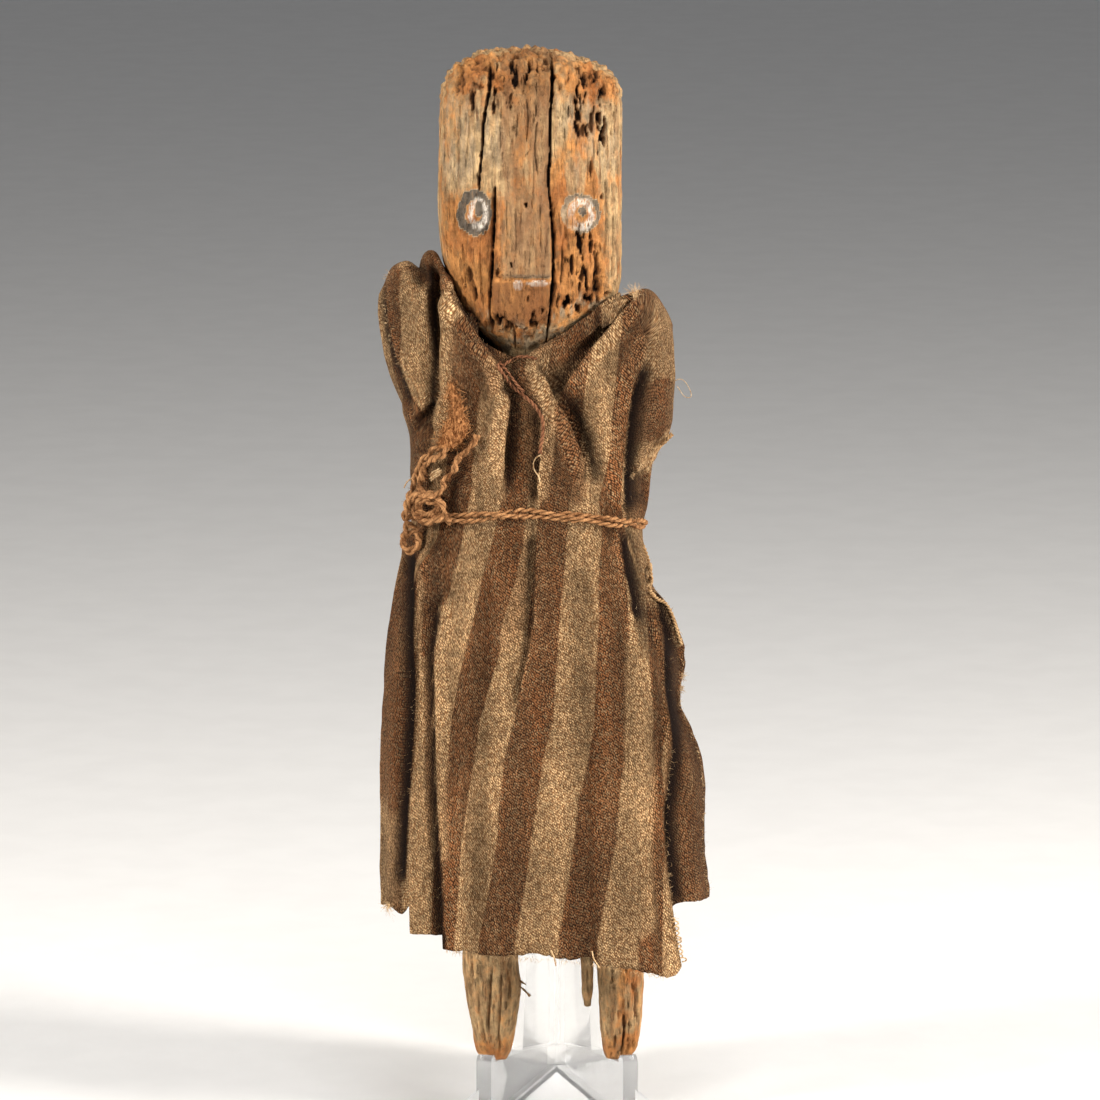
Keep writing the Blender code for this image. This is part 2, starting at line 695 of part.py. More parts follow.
def neck_thread(part, surface):
    """The reddish thread that hangs from the neck slit down the chest."""
    points = on_cloth(surface, THREAD_ROUTE, THREAD_DIAMETER / 2 + 3 * CLEARANCE)
    thread = tube("neck_thread", points, THREAD_DIAMETER, 1, part)
    thread.data.materials.append(material("reddish_wool"))
    return thread


def wool_tuft(part, surface):
    """The tuft: a soft tapered lump that follows the cloth behind it."""
    x, z = TUFT_CENTRE
    body = bmesh.new()
    bmesh.ops.create_cube(body, size=2)
    bmesh.ops.subdivide_edges(body, edges=body.edges[:], cuts=2, use_grid_fill=True)
    edge = []
    for corner in body.verts:
        up = (corner.co.z + 1) / 2
        width = TUFT_FOOT_WIDTH + (TUFT_TOP_WIDTH - TUFT_FOOT_WIDTH) * up
        edge.append(
            (
                (x + corner.co.x * width / 2 + 1.2 * math.sin(2.2 * corner.co.z)) * SHARE,
                corner.co.y,
                (z + corner.co.z * TUFT_HEIGHT / 2) * SHARE,
            )
        )
    nearest = min(
        surface.ray_cast(Vector((px, -0.1, pz)), Vector((0, 1, 0)))[0].y for px, _, pz in edge
    )
    for corner, (px, depth, pz) in zip(body.verts, edge):
        back = nearest - 2 * CLEARANCE
        corner.co = (px, back - TUFT_THICKNESS * (1 - depth) / 2, pz)
    mesh = bpy.data.meshes.new("orange_wool_tuft")
    body.to_mesh(mesh)
    body.free()
    tuft = bpy.data.objects.new("orange_wool_tuft", mesh)
    part.objects.link(tuft)
    rounding = tuft.modifiers.new("rounding", "SUBSURF")
    rounding.levels = 1
    rounding.render_levels = 1
    mesh.materials.append(material("orange_wool"))
    return tuft


def ledge_height(run):
    """Height of the ledge, square to the leaning figure, at a run along a leaf from the spine."""
    depth = run * math.cos(SPREAD)
    return LEDGE_HEIGHT - CLEARANCE / math.cos(LEAN) + (depth - FOOT_SETBACK) * math.tan(LEAN)


def arc(middle, radius, start, end, steps):
    """Points along an arc, its angles in degrees, both ends left out."""
    turns = np.radians(np.linspace(start, end, steps + 2)[1:-1])
    return [(middle[0] + radius * math.cos(turn), middle[1] + radius * math.sin(turn)) for turn in turns]


def base_outline():
    """One leaf's base seen from the side: bar, round hook and the ledge the foot stands on."""
    foot = LEFT_LEG_SECTIONS[1][3] * SHARE
    root = EDGE_SETBACK / math.cos(SPREAD)
    hook_start = (FOOT_SETBACK - foot + HOOK_ROOM) / math.cos(SPREAD)
    hook_end = hook_start + HOOK_LENGTH
    radius = HOOK_LENGTH / 2
    crown = (hook_start + radius, ledge_height(hook_end) + HOOK_HEIGHT - radius)
    return [
        (0, 0),
        (hook_end, 0),
        (hook_end, crown[1]),
        *arc(crown, radius, 0, 180, 7),
        (hook_start, ledge_height(hook_start)),
        (root, ledge_height(root)),
        (0, BASE_HEIGHT),
    ]


def upright_outline():
    """One leaf's upright seen from the side: its front edge leans as the figure does."""
    root = EDGE_SETBACK / math.cos(SPREAD)
    foot = BASE_HEIGHT / 2
    rise = UPRIGHT_HEIGHT - ledge_height(root)
    top_edge = root - rise * math.tan(LEAN) / math.cos(SPREAD)
    corner = top_edge / 2
    crown = (top_edge - corner, UPRIGHT_HEIGHT - corner)
    return [
        (0, foot),
        (root, foot),
        (root, ledge_height(root)),
        *arc(crown, corner, -5, 95, 7),
        (0, UPRIGHT_HEIGHT),
    ]


def clear_easel(part, cutters):
    """The easel: two leaves that open to the front from a flat spine, each with a toe at its end."""
    upright = upright_outline()
    base = base_outline()
    reach = max(run for run, _ in base)
    spine = bmesh.new()
    bmesh.ops.create_cube(spine, size=1)
    bmesh.ops.scale(spine, vec=(SPINE_WIDTH, SPINE_DEPTH, UPRIGHT_HEIGHT), verts=spine.verts)
    bmesh.ops.translate(spine, vec=(0, 0, UPRIGHT_HEIGHT / 2), verts=spine.verts)
    mesh = bpy.data.meshes.new("clear_easel")
    spine.to_mesh(mesh)
    spine.free()
    easel = bpy.data.objects.new("clear_easel", mesh)
    part.objects.link(easel)
    easel.data.materials.append(material("clear_plastic"))
    for side, name in ((-1, "left"), (1, "right")):
        forward = Vector((side * math.sin(SPREAD), -math.cos(SPREAD), 0))
        upward = Vector((0, 0, 1))
        across = forward.cross(upward)
        turned = Matrix((forward, upward, across)).transposed().to_4x4()
        for form, outline, thickness in (
            ("_upright", upright, LEAF_THICKNESS),
            ("_base", base, BASE_THICKNESS),
        ):
            leaf = plate(name + form, outline, thickness, turned, cutters)
            combine(easel, leaf, "UNION", "MANIFOLD")
        tip = forward * (reach - TOE_THICKNESS / 2)
        toe_outline = [(0, 0), (TOE_REACH, 0), (BASE_THICKNESS / 2, TOE_HEIGHT), (0, TOE_HEIGHT)]
        outward = Vector((side, 0, 0))
        standing = Matrix((outward, upward, outward.cross(upward))).transposed().to_4x4()
        toe = plate(
            name + "_toe",
            toe_outline,
            TOE_THICKNESS,
            Matrix.Translation(tip) @ standing,
            cutters,
        )
        combine(easel, toe, "UNION", "MANIFOLD")
    return easel


def lean_back(pieces, part):
    """Stand the figure's frame on the ledges and lean it against the uprights."""
    lean = bpy.data.objects.new("figure_lean", None)
    part.objects.link(lean)
    lean.location = (0, -FOOT_SETBACK, LEDGE_HEIGHT)
    lean.rotation_euler = (-LEAN, 0, 0)
    for piece in pieces:
        piece.parent = lean


def main():
    """Build the figure, its cloth and cords, and the easel."""
    clear_scene()
    part = collection("burial_figure_on_easel")
    cutters = collection("cutters")
    wood = carved_figure(part, cutters)
    tunic, surface = striped_tunic(part)
    belt, belt_points = belt_cord(part, surface)
    tangle = belt_tangle(part, surface, belt_points)
    thread = neck_thread(part, surface)
    tuft = wool_tuft(part, surface)
    clear_easel(part, cutters)
    lean_back([wood, tunic, belt, *tangle, thread, tuft], part)


main()
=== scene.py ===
"""The looks of a carved wooden burial figure in a striped wool tunic, leaning on a clear easel.

Sizes are millimetres in the figure's own upright frame: x to the viewer's right, y to the figure's back
and z up from the soles. FigureFrame leans that frame back and puts it in the row's frame, in metres.
Folds, stripes, wear and painted shade that the picture shows are traced in its own pixels, and View turns a
place on the cloth or the wood into such a pixel, so each trace acts on the surface that lies behind it.
"""

from __future__ import annotations

import logging
import math
from dataclasses import dataclass, replace
from enum import Enum

import bmesh
import bpy
import numpy as np
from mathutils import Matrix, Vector
from mathutils.bvhtree import BVHTree

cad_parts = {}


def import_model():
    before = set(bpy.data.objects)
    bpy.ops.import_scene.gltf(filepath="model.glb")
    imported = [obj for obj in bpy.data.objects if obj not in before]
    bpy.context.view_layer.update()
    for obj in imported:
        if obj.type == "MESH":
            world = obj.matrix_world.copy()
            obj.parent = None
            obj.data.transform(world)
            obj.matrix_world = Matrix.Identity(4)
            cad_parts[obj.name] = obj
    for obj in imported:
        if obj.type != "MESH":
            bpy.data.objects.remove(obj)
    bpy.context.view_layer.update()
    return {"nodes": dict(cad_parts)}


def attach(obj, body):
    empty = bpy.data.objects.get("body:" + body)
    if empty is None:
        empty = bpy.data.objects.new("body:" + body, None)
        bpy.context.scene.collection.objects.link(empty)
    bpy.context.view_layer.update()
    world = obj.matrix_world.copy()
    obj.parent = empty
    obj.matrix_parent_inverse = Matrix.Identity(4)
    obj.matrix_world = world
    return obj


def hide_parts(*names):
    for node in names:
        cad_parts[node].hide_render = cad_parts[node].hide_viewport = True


LOG = logging.getLogger("burial_figure")
MM = 0.001
PIXELS_PER_MM = 3.06
CRACK_REACH, FOLD_REACH, GAP_REACH = 12, 75, 40
EDGE_ROWS = 3
YARN_SEED, FRAY_SEED, FRAY_CURL_SEED = 40, 90, 100

Points = np.ndarray
Pair = tuple[float, float]
Triple = tuple[float, float, float]
Colour = tuple[float, float, float]
Trace = tuple[Pair, ...]
Object = bpy.types.Object
Material = bpy.types.Material
Socket = bpy.types.NodeSocket

FRONT = np.array([0.0, 1.0, 0.0])
UPRIGHT = np.array([0.0, 0.0, 1.0])
LEVEL = np.array([1.0, 1.0, 0.0])


# Numbers and curves


def smooth_step(value: Points, low: float, high: float) -> Points:
    """An S curve.

    Args:
        value: Where to read it.
        low: Where it is 0.
        high: Where it is 1.

    Returns:
        3 t^2 - 2 t^3 of the share t of the way from low to high.
    """
    t = np.clip((value - low) / (high - low), 0, 1)
    return t * t * (3 - 2 * t)


def falling(value: Points, full: float, none: float) -> Points:
    """An S curve that is 1 up to the first limit and 0 from the second on."""
    return smooth_step(-value, -none, -full)


def within(value: Points, rise: Pair, fall: Pair) -> Points:
    """An S curve up between the first two limits, and one down between the second two."""
    return smooth_step(value, *rise) * falling(value, *fall)


def flowing(rows: object, steps: int) -> Points:
    """A smooth curve through every row of a table (Catmull-Rom).

    Args:
        rows: The table, one point a row.
        steps: Steps from row to row.

    Returns:
        The points of the curve.
    """
    rows = np.asarray(rows, float)
    padded = np.vstack([2 * rows[0] - rows[1], rows, 2 * rows[-1] - rows[-2]])
    t = (np.arange(steps) / steps)[:, None]
    stretches = []
    for before, start, end, after in zip(padded, padded[1:], padded[2:], padded[3:]):
        stretches.append(
            start
            + (end - before) * t / 2
            + (2 * before - 5 * start + 4 * end - after) * t**2 / 2
            + (3 * start - before - 3 * end + after) * t**3 / 2
        )
    return np.vstack(stretches + [rows[-1:]])


def run_along(line: Points) -> Points:
    """The distance along a line of points, 0 at its first."""
    return np.concatenate([[0], np.cumsum(np.linalg.norm(np.diff(line, axis=0), axis=1))])


def evenly(line: Points, gap: float) -> Points:
    """The same line with its points a given gap apart.

    Args:
        line: Points of the line.
        gap: Distance between the new points.

    Returns:
        The new points, both ends kept.
    """
    run = run_along(line)
    places = np.linspace(0, run[-1], max(int(round(run[-1] / gap)), 2) + 1)
    return np.stack([np.interp(places, run, line[:, k]) for k in range(line.shape[1])], axis=1)


def line_length(line: Points) -> float:
    """The length of a line of points."""
    return float(np.linalg.norm(np.diff(line, axis=0), axis=1).sum())


def sliding(values: Points, reach: int, axis: int = 0, blend: object = np.mean) -> Points:
    """Each value blended with its neighbours along one axis, the end values repeated past both ends.

    Args:
        values: The values.
        reach: How many neighbours on either side.
        axis: Which axis.
        blend: np.mean or np.min.

    Returns:
        As many values.
    """
    widths = [(reach, reach) if side == axis else (0, 0) for side in range(values.ndim)]
    padded = np.pad(values, widths, mode="edge")
    here = np.arange(values.shape[axis])
    return blend([np.take(padded, here + k, axis=axis) for k in range(2 * reach + 1)], axis=0)


def step_lengths(grid: Points, axis: int) -> Points:
    """The distance of each point of a grid from the one before it along an axis, 0 for the first."""
    return np.linalg.norm(np.diff(grid, axis=axis, prepend=np.take(grid, [0], axis=axis)), axis=-1)


def unit(vectors: Points) -> Points:
    """Vectors scaled to a length of one."""
    return vectors / np.maximum(np.linalg.norm(vectors, axis=-1, keepdims=True), 1e-12)


def rounded_square(angles: Points, roundness: float) -> tuple[Points, Points]:
    """Across and depth, -1 to 1, of a square with round corners: 2 is a circle, more is squarer."""
    power = 2 / roundness
    across = np.sign(np.cos(angles)) * np.abs(np.cos(angles)) ** power
    deep = np.sign(np.sin(angles)) * np.abs(np.sin(angles)) ** power
    return across, deep


def even_angles(count: int, roundness: float, wide: float, deep: float, crowding: float) -> Points:
    """Angles that space points evenly round a rounded square, from its back middle and back to it.

    Args:
        count: Number of gaps; the last angle is the first one a full turn on.
        roundness: Of the rounded square.
        wide: Its half width.
        deep: Its half depth.
        crowding: How many times closer the points stand on its front.

    Returns:
        count + 1 angles.
    """
    turn = np.linspace(math.pi / 2, 5 * math.pi / 2, 2881)
    x, y = rounded_square(turn, roundness)
    run = np.hypot(np.diff(x) * wide, np.diff(y) * deep)
    run = run * np.where(y[1:] < -0.2, crowding, 1.0)
    along = np.concatenate([[0], np.cumsum(run)])
    return np.interp(np.linspace(0, along[-1], count + 1), along, turn)


def lattice_noise(points: Points, seed: int) -> Points:
    """Smooth noise from -1 to 1: random values on a lattice, blended between its eight corners.

    Args:
        points: Places, in cells of the lattice.
        seed: Which noise.

    Returns:
        One value a place.
    """
    table = np.random.default_rng(seed).random((32, 32, 32)) * 2 - 1
    cell = np.floor(points).astype(int)
    part = points - cell
    ease = part**3 * (part * (part * 6 - 15) + 10)
    total = np.zeros(points.shape[:-1])
    for corner in np.ndindex(2, 2, 2):
        weight = np.prod(np.where(np.array(corner) == 1, ease, 1 - ease), axis=-1)
        index = (cell + np.array(corner)) % 32
        total += weight * table[index[..., 0], index[..., 1], index[..., 2]]
    return total


def layered_noise(points: Points, size: Triple, seed: int, layers: int = 3) -> Points:
    """Noise with finer noise added on top, each layer half the size and half the strength.

    Args:
        points: Places.
        size: Size of the first layer's cells along x, y and z.
        seed: Which noise.
        layers: How many.

    Returns:
        One value a place, about -1 to 1.
    """
    total = np.zeros(points.shape[:-1])
    for layer in range(layers):
        scale = 2.0**layer
        total += lattice_noise(points / np.array(size) * scale + 7.3 * layer, seed + layer) / scale
    return total / 1.6


def line_noise(run: Points, size: float, seed: int) -> Points:
    """Two layers of noise along a line, its cells so long."""
    return layered_noise(np.stack([run, 0 * run, 0 * run], axis=-1), (size, 1, 1), seed, 2)


def cell_noise(points: Points, seed: int) -> Points:
    """Distance to the nearest of the points scattered one to a lattice cell, 0 to about 1."""
    table = np.random.default_rng(seed).random((16, 16, 16, 3))
    cell = np.floor(points).astype(int)
    nearest = np.full(points.shape[:-1], 9.0)
    for offset in np.ndindex(3, 3, 3):
        beside = cell + np.array(offset) - 1
        index = beside % 16
        spot = beside + table[index[..., 0], index[..., 1], index[..., 2]]
        nearest = np.minimum(nearest, np.linalg.norm(points - spot, axis=-1))
    return nearest


# The two frames: the figure's own, and the picture's


@dataclass(frozen=True)
class FigureFrame:
    """Where the figure's upright frame stands in the row's frame."""

    lean: float = math.radians(8)
    setback: float = 64.3
    rise: float = 20.3

    def place(self, points: Points) -> Points:
        """Millimetres in the figure's frame to metres in the row's frame."""
        x, y, z = np.moveaxis(np.asarray(points, float), -1, 0)
        cos, sin = math.cos(self.lean), math.sin(self.lean)
        return np.stack([x, y * cos + z * sin - self.setback, z * cos - y * sin + self.rise], axis=-1) * MM

    def local(self, places: Points) -> Points:
        """Metres in the row's frame to millimetres in the figure's frame."""
        x, y, z = np.moveaxis(np.asarray(places, float) / MM, -1, 0)
        cos, sin = math.cos(self.lean), math.sin(self.lean)
        back, above = y + self.setback, z - self.rise
        return np.stack([x, back * cos - above * sin, back * sin + above * cos], axis=-1)


@dataclass(frozen=True)
class View:
    """The picture's camera: where it stands, and which pixel a place falls on."""

    frame: FigureFrame = FigureFrame()
    target: Triple = (-2.3, -12.0, 167.3)
    distance: float = 2.2
    elevation: float = math.radians(11)
    picture: float = 1100.0
    pixels_per_metre: float = 3078.0
    sensor: float = 36.0

    def axes(self) -> tuple[Points, Points, Points]:
        """The camera's place, its sight line and its up direction, in the row's frame."""
        sight = np.array([0, math.cos(self.elevation), -math.sin(self.elevation)])
        up = np.array([0, math.sin(self.elevation), math.cos(self.elevation)])
        return self.frame.place(np.array(self.target)) - self.distance * sight, sight, up

    def pixels(self, points: Points) -> Points:
        """The pixel that each place of the figure's frame falls on.

        Args:
            points: Places in the figure's frame, in millimetres.

        Returns:
            Across and down, in pixels of the picture.
        """
        eye, sight, up = self.axes()
        seen = self.frame.place(points) - eye
        zoom = self.distance * self.pixels_per_metre / (seen @ sight)
        return self.picture / 2 + np.stack([seen[..., 0] * zoom, -(seen @ up) * zoom], axis=-1)

    def make_camera(self) -> None:
        """The scene's camera, at the picture's viewing angle."""
        eye, _, _ = self.axes()
        data = bpy.data.cameras.new("camera")
        data.sensor_width = self.sensor
        data.lens = self.sensor * self.distance / (self.picture / self.pixels_per_metre)
        data.clip_end = 50
        camera = bpy.data.objects.new("camera", data)
        camera.location = eye
        camera.rotation_euler = (math.pi / 2 - self.elevation, 0, 0)
        bpy.context.scene.collection.objects.link(camera)
        bpy.context.scene.camera = camera


FRAME = FigureFrame()
VIEW = View()


def flat_place(spots: Points) -> Points:
    """Places in the picture with a third value of 0."""
    return np.concatenate([spots, 0 * spots[..., :1]], axis=-1)


def near_trace(spots: Points, trace: Trace, reach: float) -> Points:
    """Which places are in the box round a trace, widened by so many pixels."""
    line = np.array(trace)
    return np.all((spots > line.min(axis=0) - reach) & (spots < line.max(axis=0) + reach), axis=-1)


def trace_distance(spots: Points, trace: Trace) -> tuple[Points, Points, Points]:
    """How places in the picture lie beside a trace.

    Args:
        spots: Pixels, one a place.
        trace: The pixels that the trace runs through.

    Returns:
        The signed distance in millimetres, positive on the right of a trace that runs down, the distance
        from the trace's nearer end in millimetres, and the direction across it, in picture pixels.
    """
    line = flowing(trace, 5)
    best = np.full(spots.shape[:-1], np.inf)
    signed = np.zeros_like(best)
    along = np.zeros_like(best)
    across = np.zeros_like(spots)
    run = 0.0
    for start, end in zip(line, line[1:]):
        step = end - start
        length = float(np.hypot(*step))
        share = np.clip((spots - start) @ step / length**2, 0, 1)
        gap = spots - start - share[..., None] * step
        distance = np.hypot(gap[..., 0], gap[..., 1])
        closer = distance < best
        side = np.where(step[1] * gap[..., 0] - step[0] * gap[..., 1] < 0, -1.0, 1.0)
        best = np.where(closer, distance, best)
        signed = np.where(closer, side * distance, signed)
        along = np.where(closer, run + share * length, along)
        across[closer] = (step[1] / length, -step[0] / length)
        run += length
    return signed / PIXELS_PER_MM, np.minimum(along, run - along) / PIXELS_PER_MM, across


# Meshes


def tube_faces(rows: int, columns: int, closed: bool) -> Points:
    """The quads between the rows of a grid.

    Args:
        rows: Rows of points.
        columns: Points in a row.
        closed: Whether each row is a ring.

    Returns:
        Four corners a face, so that a ring that turns left has its faces outwards.
    """
    column = np.arange(columns if closed else columns - 1)
    after = (column + 1) % columns
    start = np.arange(rows - 1)[:, None] * columns
    above = start + columns
    return np.stack([start + column, start + after, above + after, above + column], -1).reshape(-1, 4)


def capped_tube_faces(rows: int, columns: int, used: int) -> list:
    """The quads of a tube of rings and the face at each end, its corner numbers starting at used."""
    faces = (tube_faces(rows, columns, True) + used).tolist()
    first = list(range(used, used + columns))
    return [*faces, first[::-1], [(rows - 1) * columns + corner for corner in first]]


def mesh_piece(name: str, points: Points, faces: list | Points, smooth: bool = True) -> Object:
    """An object from points in metres in the row's frame.

    Args:
        name: Its name.
        points: Its corners.
        faces: Corner numbers of each face.
        smooth: Whether it is shaded smooth.

    Returns:
        The object, at the origin.
    """
    mesh = bpy.data.meshes.new(name)
    faces = faces.tolist() if isinstance(faces, np.ndarray) else faces
    mesh.from_pydata(np.asarray(points).reshape(-1, 3).tolist(), [], faces)
    if smooth:
        mesh.shade_smooth()
    mesh.update()
    made = bpy.data.objects.new(name, mesh)
    bpy.context.scene.collection.objects.link(made)
    return made


def read_all(items: object, name: str, width: int, kind: type) -> Points:
    """One property of every item of a mesh, each so many values wide."""
    values = np.zeros(len(items) * width, kind)
    items.foreach_get(name, values)
    return values


def give_uv(piece: Object, name: str, values: Points) -> None:
    """A UV map that follows the corners' own values, which are in metres."""
    mesh = piece.data
    corners = read_all(mesh.loops, "vertex_index", 1, np.int32)
    layer = mesh.uv_layers.new(name=name)
    layer.data.foreach_set("uv", np.asarray(values).reshape(-1, 2)[corners].astype(np.float32).ravel())


def give_colour(piece: Object, name: str, values: Points) -> None:
    """A colour attribute, four values a corner."""
    layer = piece.data.color_attributes.new(name, "FLOAT_COLOR", "POINT")
    layer.data.foreach_set("color", np.asarray(values).reshape(-1, 4).astype(np.float32).ravel())


def weld(piece: Object, distance: float = 1e-6) -> None:
    """Join the corners of a mesh that lie in one place."""
    body = bmesh.new()
    body.from_mesh(piece.data)
    bmesh.ops.remove_doubles(body, verts=body.verts, dist=distance)
    body.to_mesh(piece.data)
    body.free()


class Lay(Enum):
    """How the plies of a cord turn: towards the right as they go away, or to the left."""

    RIGHT = 1.0
    LEFT = -1.0


@dataclass(frozen=True)
class Yarn:
    """A plied yarn: its size, its plies and how tightly they turn."""

    diameter: float
    plies: int
    pitch: float
    lay: Lay = Lay.RIGHT
    sides: int = 14
    unevenness: float = 0.08

    def outline(self, turn: Points) -> Points:
        """How far the plies reach at an angle: the outer edge of equal circles round the middle."""
        ply = 0.5 * self.diameter * (0.58 if self.plies == 2 else 0.52)
        offset = 0.5 * self.diameter - ply
        step = 2 * math.pi / self.plies
        near = np.abs((turn + step / 2) % step - step / 2)
        return offset * np.cos(near) + np.sqrt(np.maximum(ply**2 - (offset * np.sin(near)) ** 2, 0))

    def surface(self, line: Points, facing: Points, seed: int) -> tuple[Points, Points]:
        """The yarn along a line: its outline carried along, turning with the plies.

        Args:
            line: Points along the middle, in millimetres.
            facing: A direction that the line never runs along.
            seed: Which unevenness.

        Returns:
            The grid of points, and for each its length along and its angle round.
        """
        ahead = unit(np.gradient(line, axis=0))
        side = unit(np.cross(ahead, facing))
        up = np.cross(side, ahead)
        run = run_along(line)
        around = np.arange(self.sides) / self.sides * 2 * math.pi
        twist = self.lay.value * run / self.pitch * 2 * math.pi
        reach = self.outline(around[None, :] - twist[:, None])
        swell = 1 + self.unevenness * line_noise(run, 2.4, seed)
        reach = reach * swell[:, None]
        grid = (
            line[:, None, :]
            + (reach * np.cos(around))[..., None] * side[:, None, :]
            + (reach * np.sin(around))[..., None] * up[:, None, :]
        )
        length = np.broadcast_to(run[:, None], reach.shape)
        return grid, np.stack([length, around[None, :] - twist[:, None]], axis=-1)


def yarn_piece(
    name: str,
    yarn: Yarn,
    lines: list[Points],
    facing: Points,
    closed: bool = False,
    fuzz: Fuzz | None = None,
) -> Object:
    """One object with a yarn along each line, its ends closed.

    Args:
        name: Its name.
        yarn: The yarn.
        lines: Points along each line, in millimetres in the figure's frame.
        facing: A direction that no line runs along.
        closed: Whether each line is a ring.
        fuzz: The fine fibres that stand off it, or None.

    Returns:
        The object, with a UV map of length along and place round, in metres.
    """
    points, outwards, faces, maps, used = [], [], [], [], 0
    for number, line in enumerate(lines):
        grid, place = yarn.surface(line, facing, YARN_SEED + number)
        outward = unit(grid - line[:, None, :])
        rows, columns = grid.shape[:2]
        if closed:
            grid, place, outward = grid[:-1], place[:-1], outward[:-1]
            rows -= 1
            wrapped = np.vstack([tube_faces(rows, columns, True), ring_joint(rows, columns)])
            faces += (wrapped + used).tolist()
        else:
            faces += capped_tube_faces(rows, columns, used)
        points.append(grid.reshape(-1, 3))
        outwards.append(outward.reshape(-1, 3))
        round_it = np.cos(place[..., 1]) * yarn.diameter
        maps.append(np.stack([place[..., 0] * MM, round_it * MM], axis=-1).reshape(-1, 2))
        used += rows * columns
    if fuzz is not None:
        ribbons, quads, pick = fuzz.grow(np.vstack(points), np.vstack(outwards))
        maps.append(np.repeat(np.vstack(maps)[pick], len(ribbons) // len(pick), axis=0))
        points.append(ribbons)
        faces += (quads + used).tolist()
    piece = mesh_piece(name, FRAME.place(np.vstack(points)), faces)
    give_uv(piece, "lay", np.vstack(maps))
    face_outwards(piece)
    return piece


def ring_joint(rows: int, columns: int) -> Points:
    """The quads that join the last ring of a closed tube to its first."""
    column = np.arange(columns)
    after = (column + 1) % columns
    last = (rows - 1) * columns
    return np.stack([last + column, last + after, after, column], axis=-1)


def face_outwards(piece: Object) -> None:
    """Turn every face of closed shapes outwards."""
    body = bmesh.new()
    body.from_mesh(piece.data)
    bmesh.ops.recalc_face_normals(body, faces=body.faces)
    body.to_mesh(piece.data)
    body.free()


@dataclass(frozen=True)
class Fibres:
    """Loose fibres as thin ribbons: how long, how wide and how curly."""

    length: float
    width: float
    curl: float
    steps: int = 5

    def ribbons(self, roots: Points, directions: Points, seed: int) -> tuple[Points, Points]:
        """Ribbons that leave their roots in a direction and wander.

        Args:
            roots: Where they start, in millimetres.
            directions: Which way they leave.
            seed: Which wandering.

        Returns:
            The points, and the faces as corner numbers.
        """
        random = np.random.default_rng(seed)
        count = len(roots)
        heading = unit(directions)
        place = roots.astype(float)
        lengths = self.length * random.uniform(0.45, 1.25, count)[:, None]
        drift = random.normal(0, 1, (count, 3))
        middle = [place]
        for _ in range(self.steps):
            drift = 0.6 * drift + 0.8 * random.normal(0, 1, (count, 3))
            heading = unit(heading + self.curl * drift)
            place = place + heading * lengths / self.steps
            middle.append(place)
        middle = np.stack(middle, axis=1)
        side = unit(np.cross(heading, random.normal(0, 1, (count, 3))))[:, None, :]
        taper = np.linspace(1, 0.35, self.steps + 1)[None, :, None] * self.width / 2
        points = np.stack([middle - side * taper, middle + side * taper], axis=2)
        row = np.arange(self.steps)
        quad = np.stack([2 * row, 2 * row + 1, 2 * row + 3, 2 * row + 2], axis=-1)
        faces = (np.arange(count)[:, None, None] * (2 * (self.steps + 1)) + quad).reshape(-1, 4)
        return points.reshape(-1, 3), faces


@dataclass(frozen=True)
class Fuzz:
    """Fine fibres that stand off a yarn: what they are like, and how many there are."""

    fibre: Fibres
    count: int
    spread: float = 0.8
    seed: int = 47

    def grow(self, surface: Points, outwards: Points) -> tuple[Points, Points, Points]:
        """The fibres of a surface.

        Args:
            surface: Points of the surface.
            outwards: Its outward directions.

        Returns:
            The ribbons' points, their faces, and which points they grow from.
        """
        random = np.random.default_rng(self.seed)
        pick = random.integers(0, len(surface), self.count)
        directions = outwards[pick] + self.spread * random.normal(0, 1, (self.count, 3))
        ribbons, quads = self.fibre.ribbons(surface[pick], directions, self.seed + 1)
        return ribbons, quads, pick


CORD_FUZZ = Fuzz(Fibres(0.9, 0.10, 0.45, 3), 2600)
COILED_FUZZ = Fuzz(Fibres(1.0, 0.11, 0.45, 3), 2200)
THREAD_FUZZ = Fuzz(Fibres(0.6, 0.08, 0.45, 3), 260)


# Materials


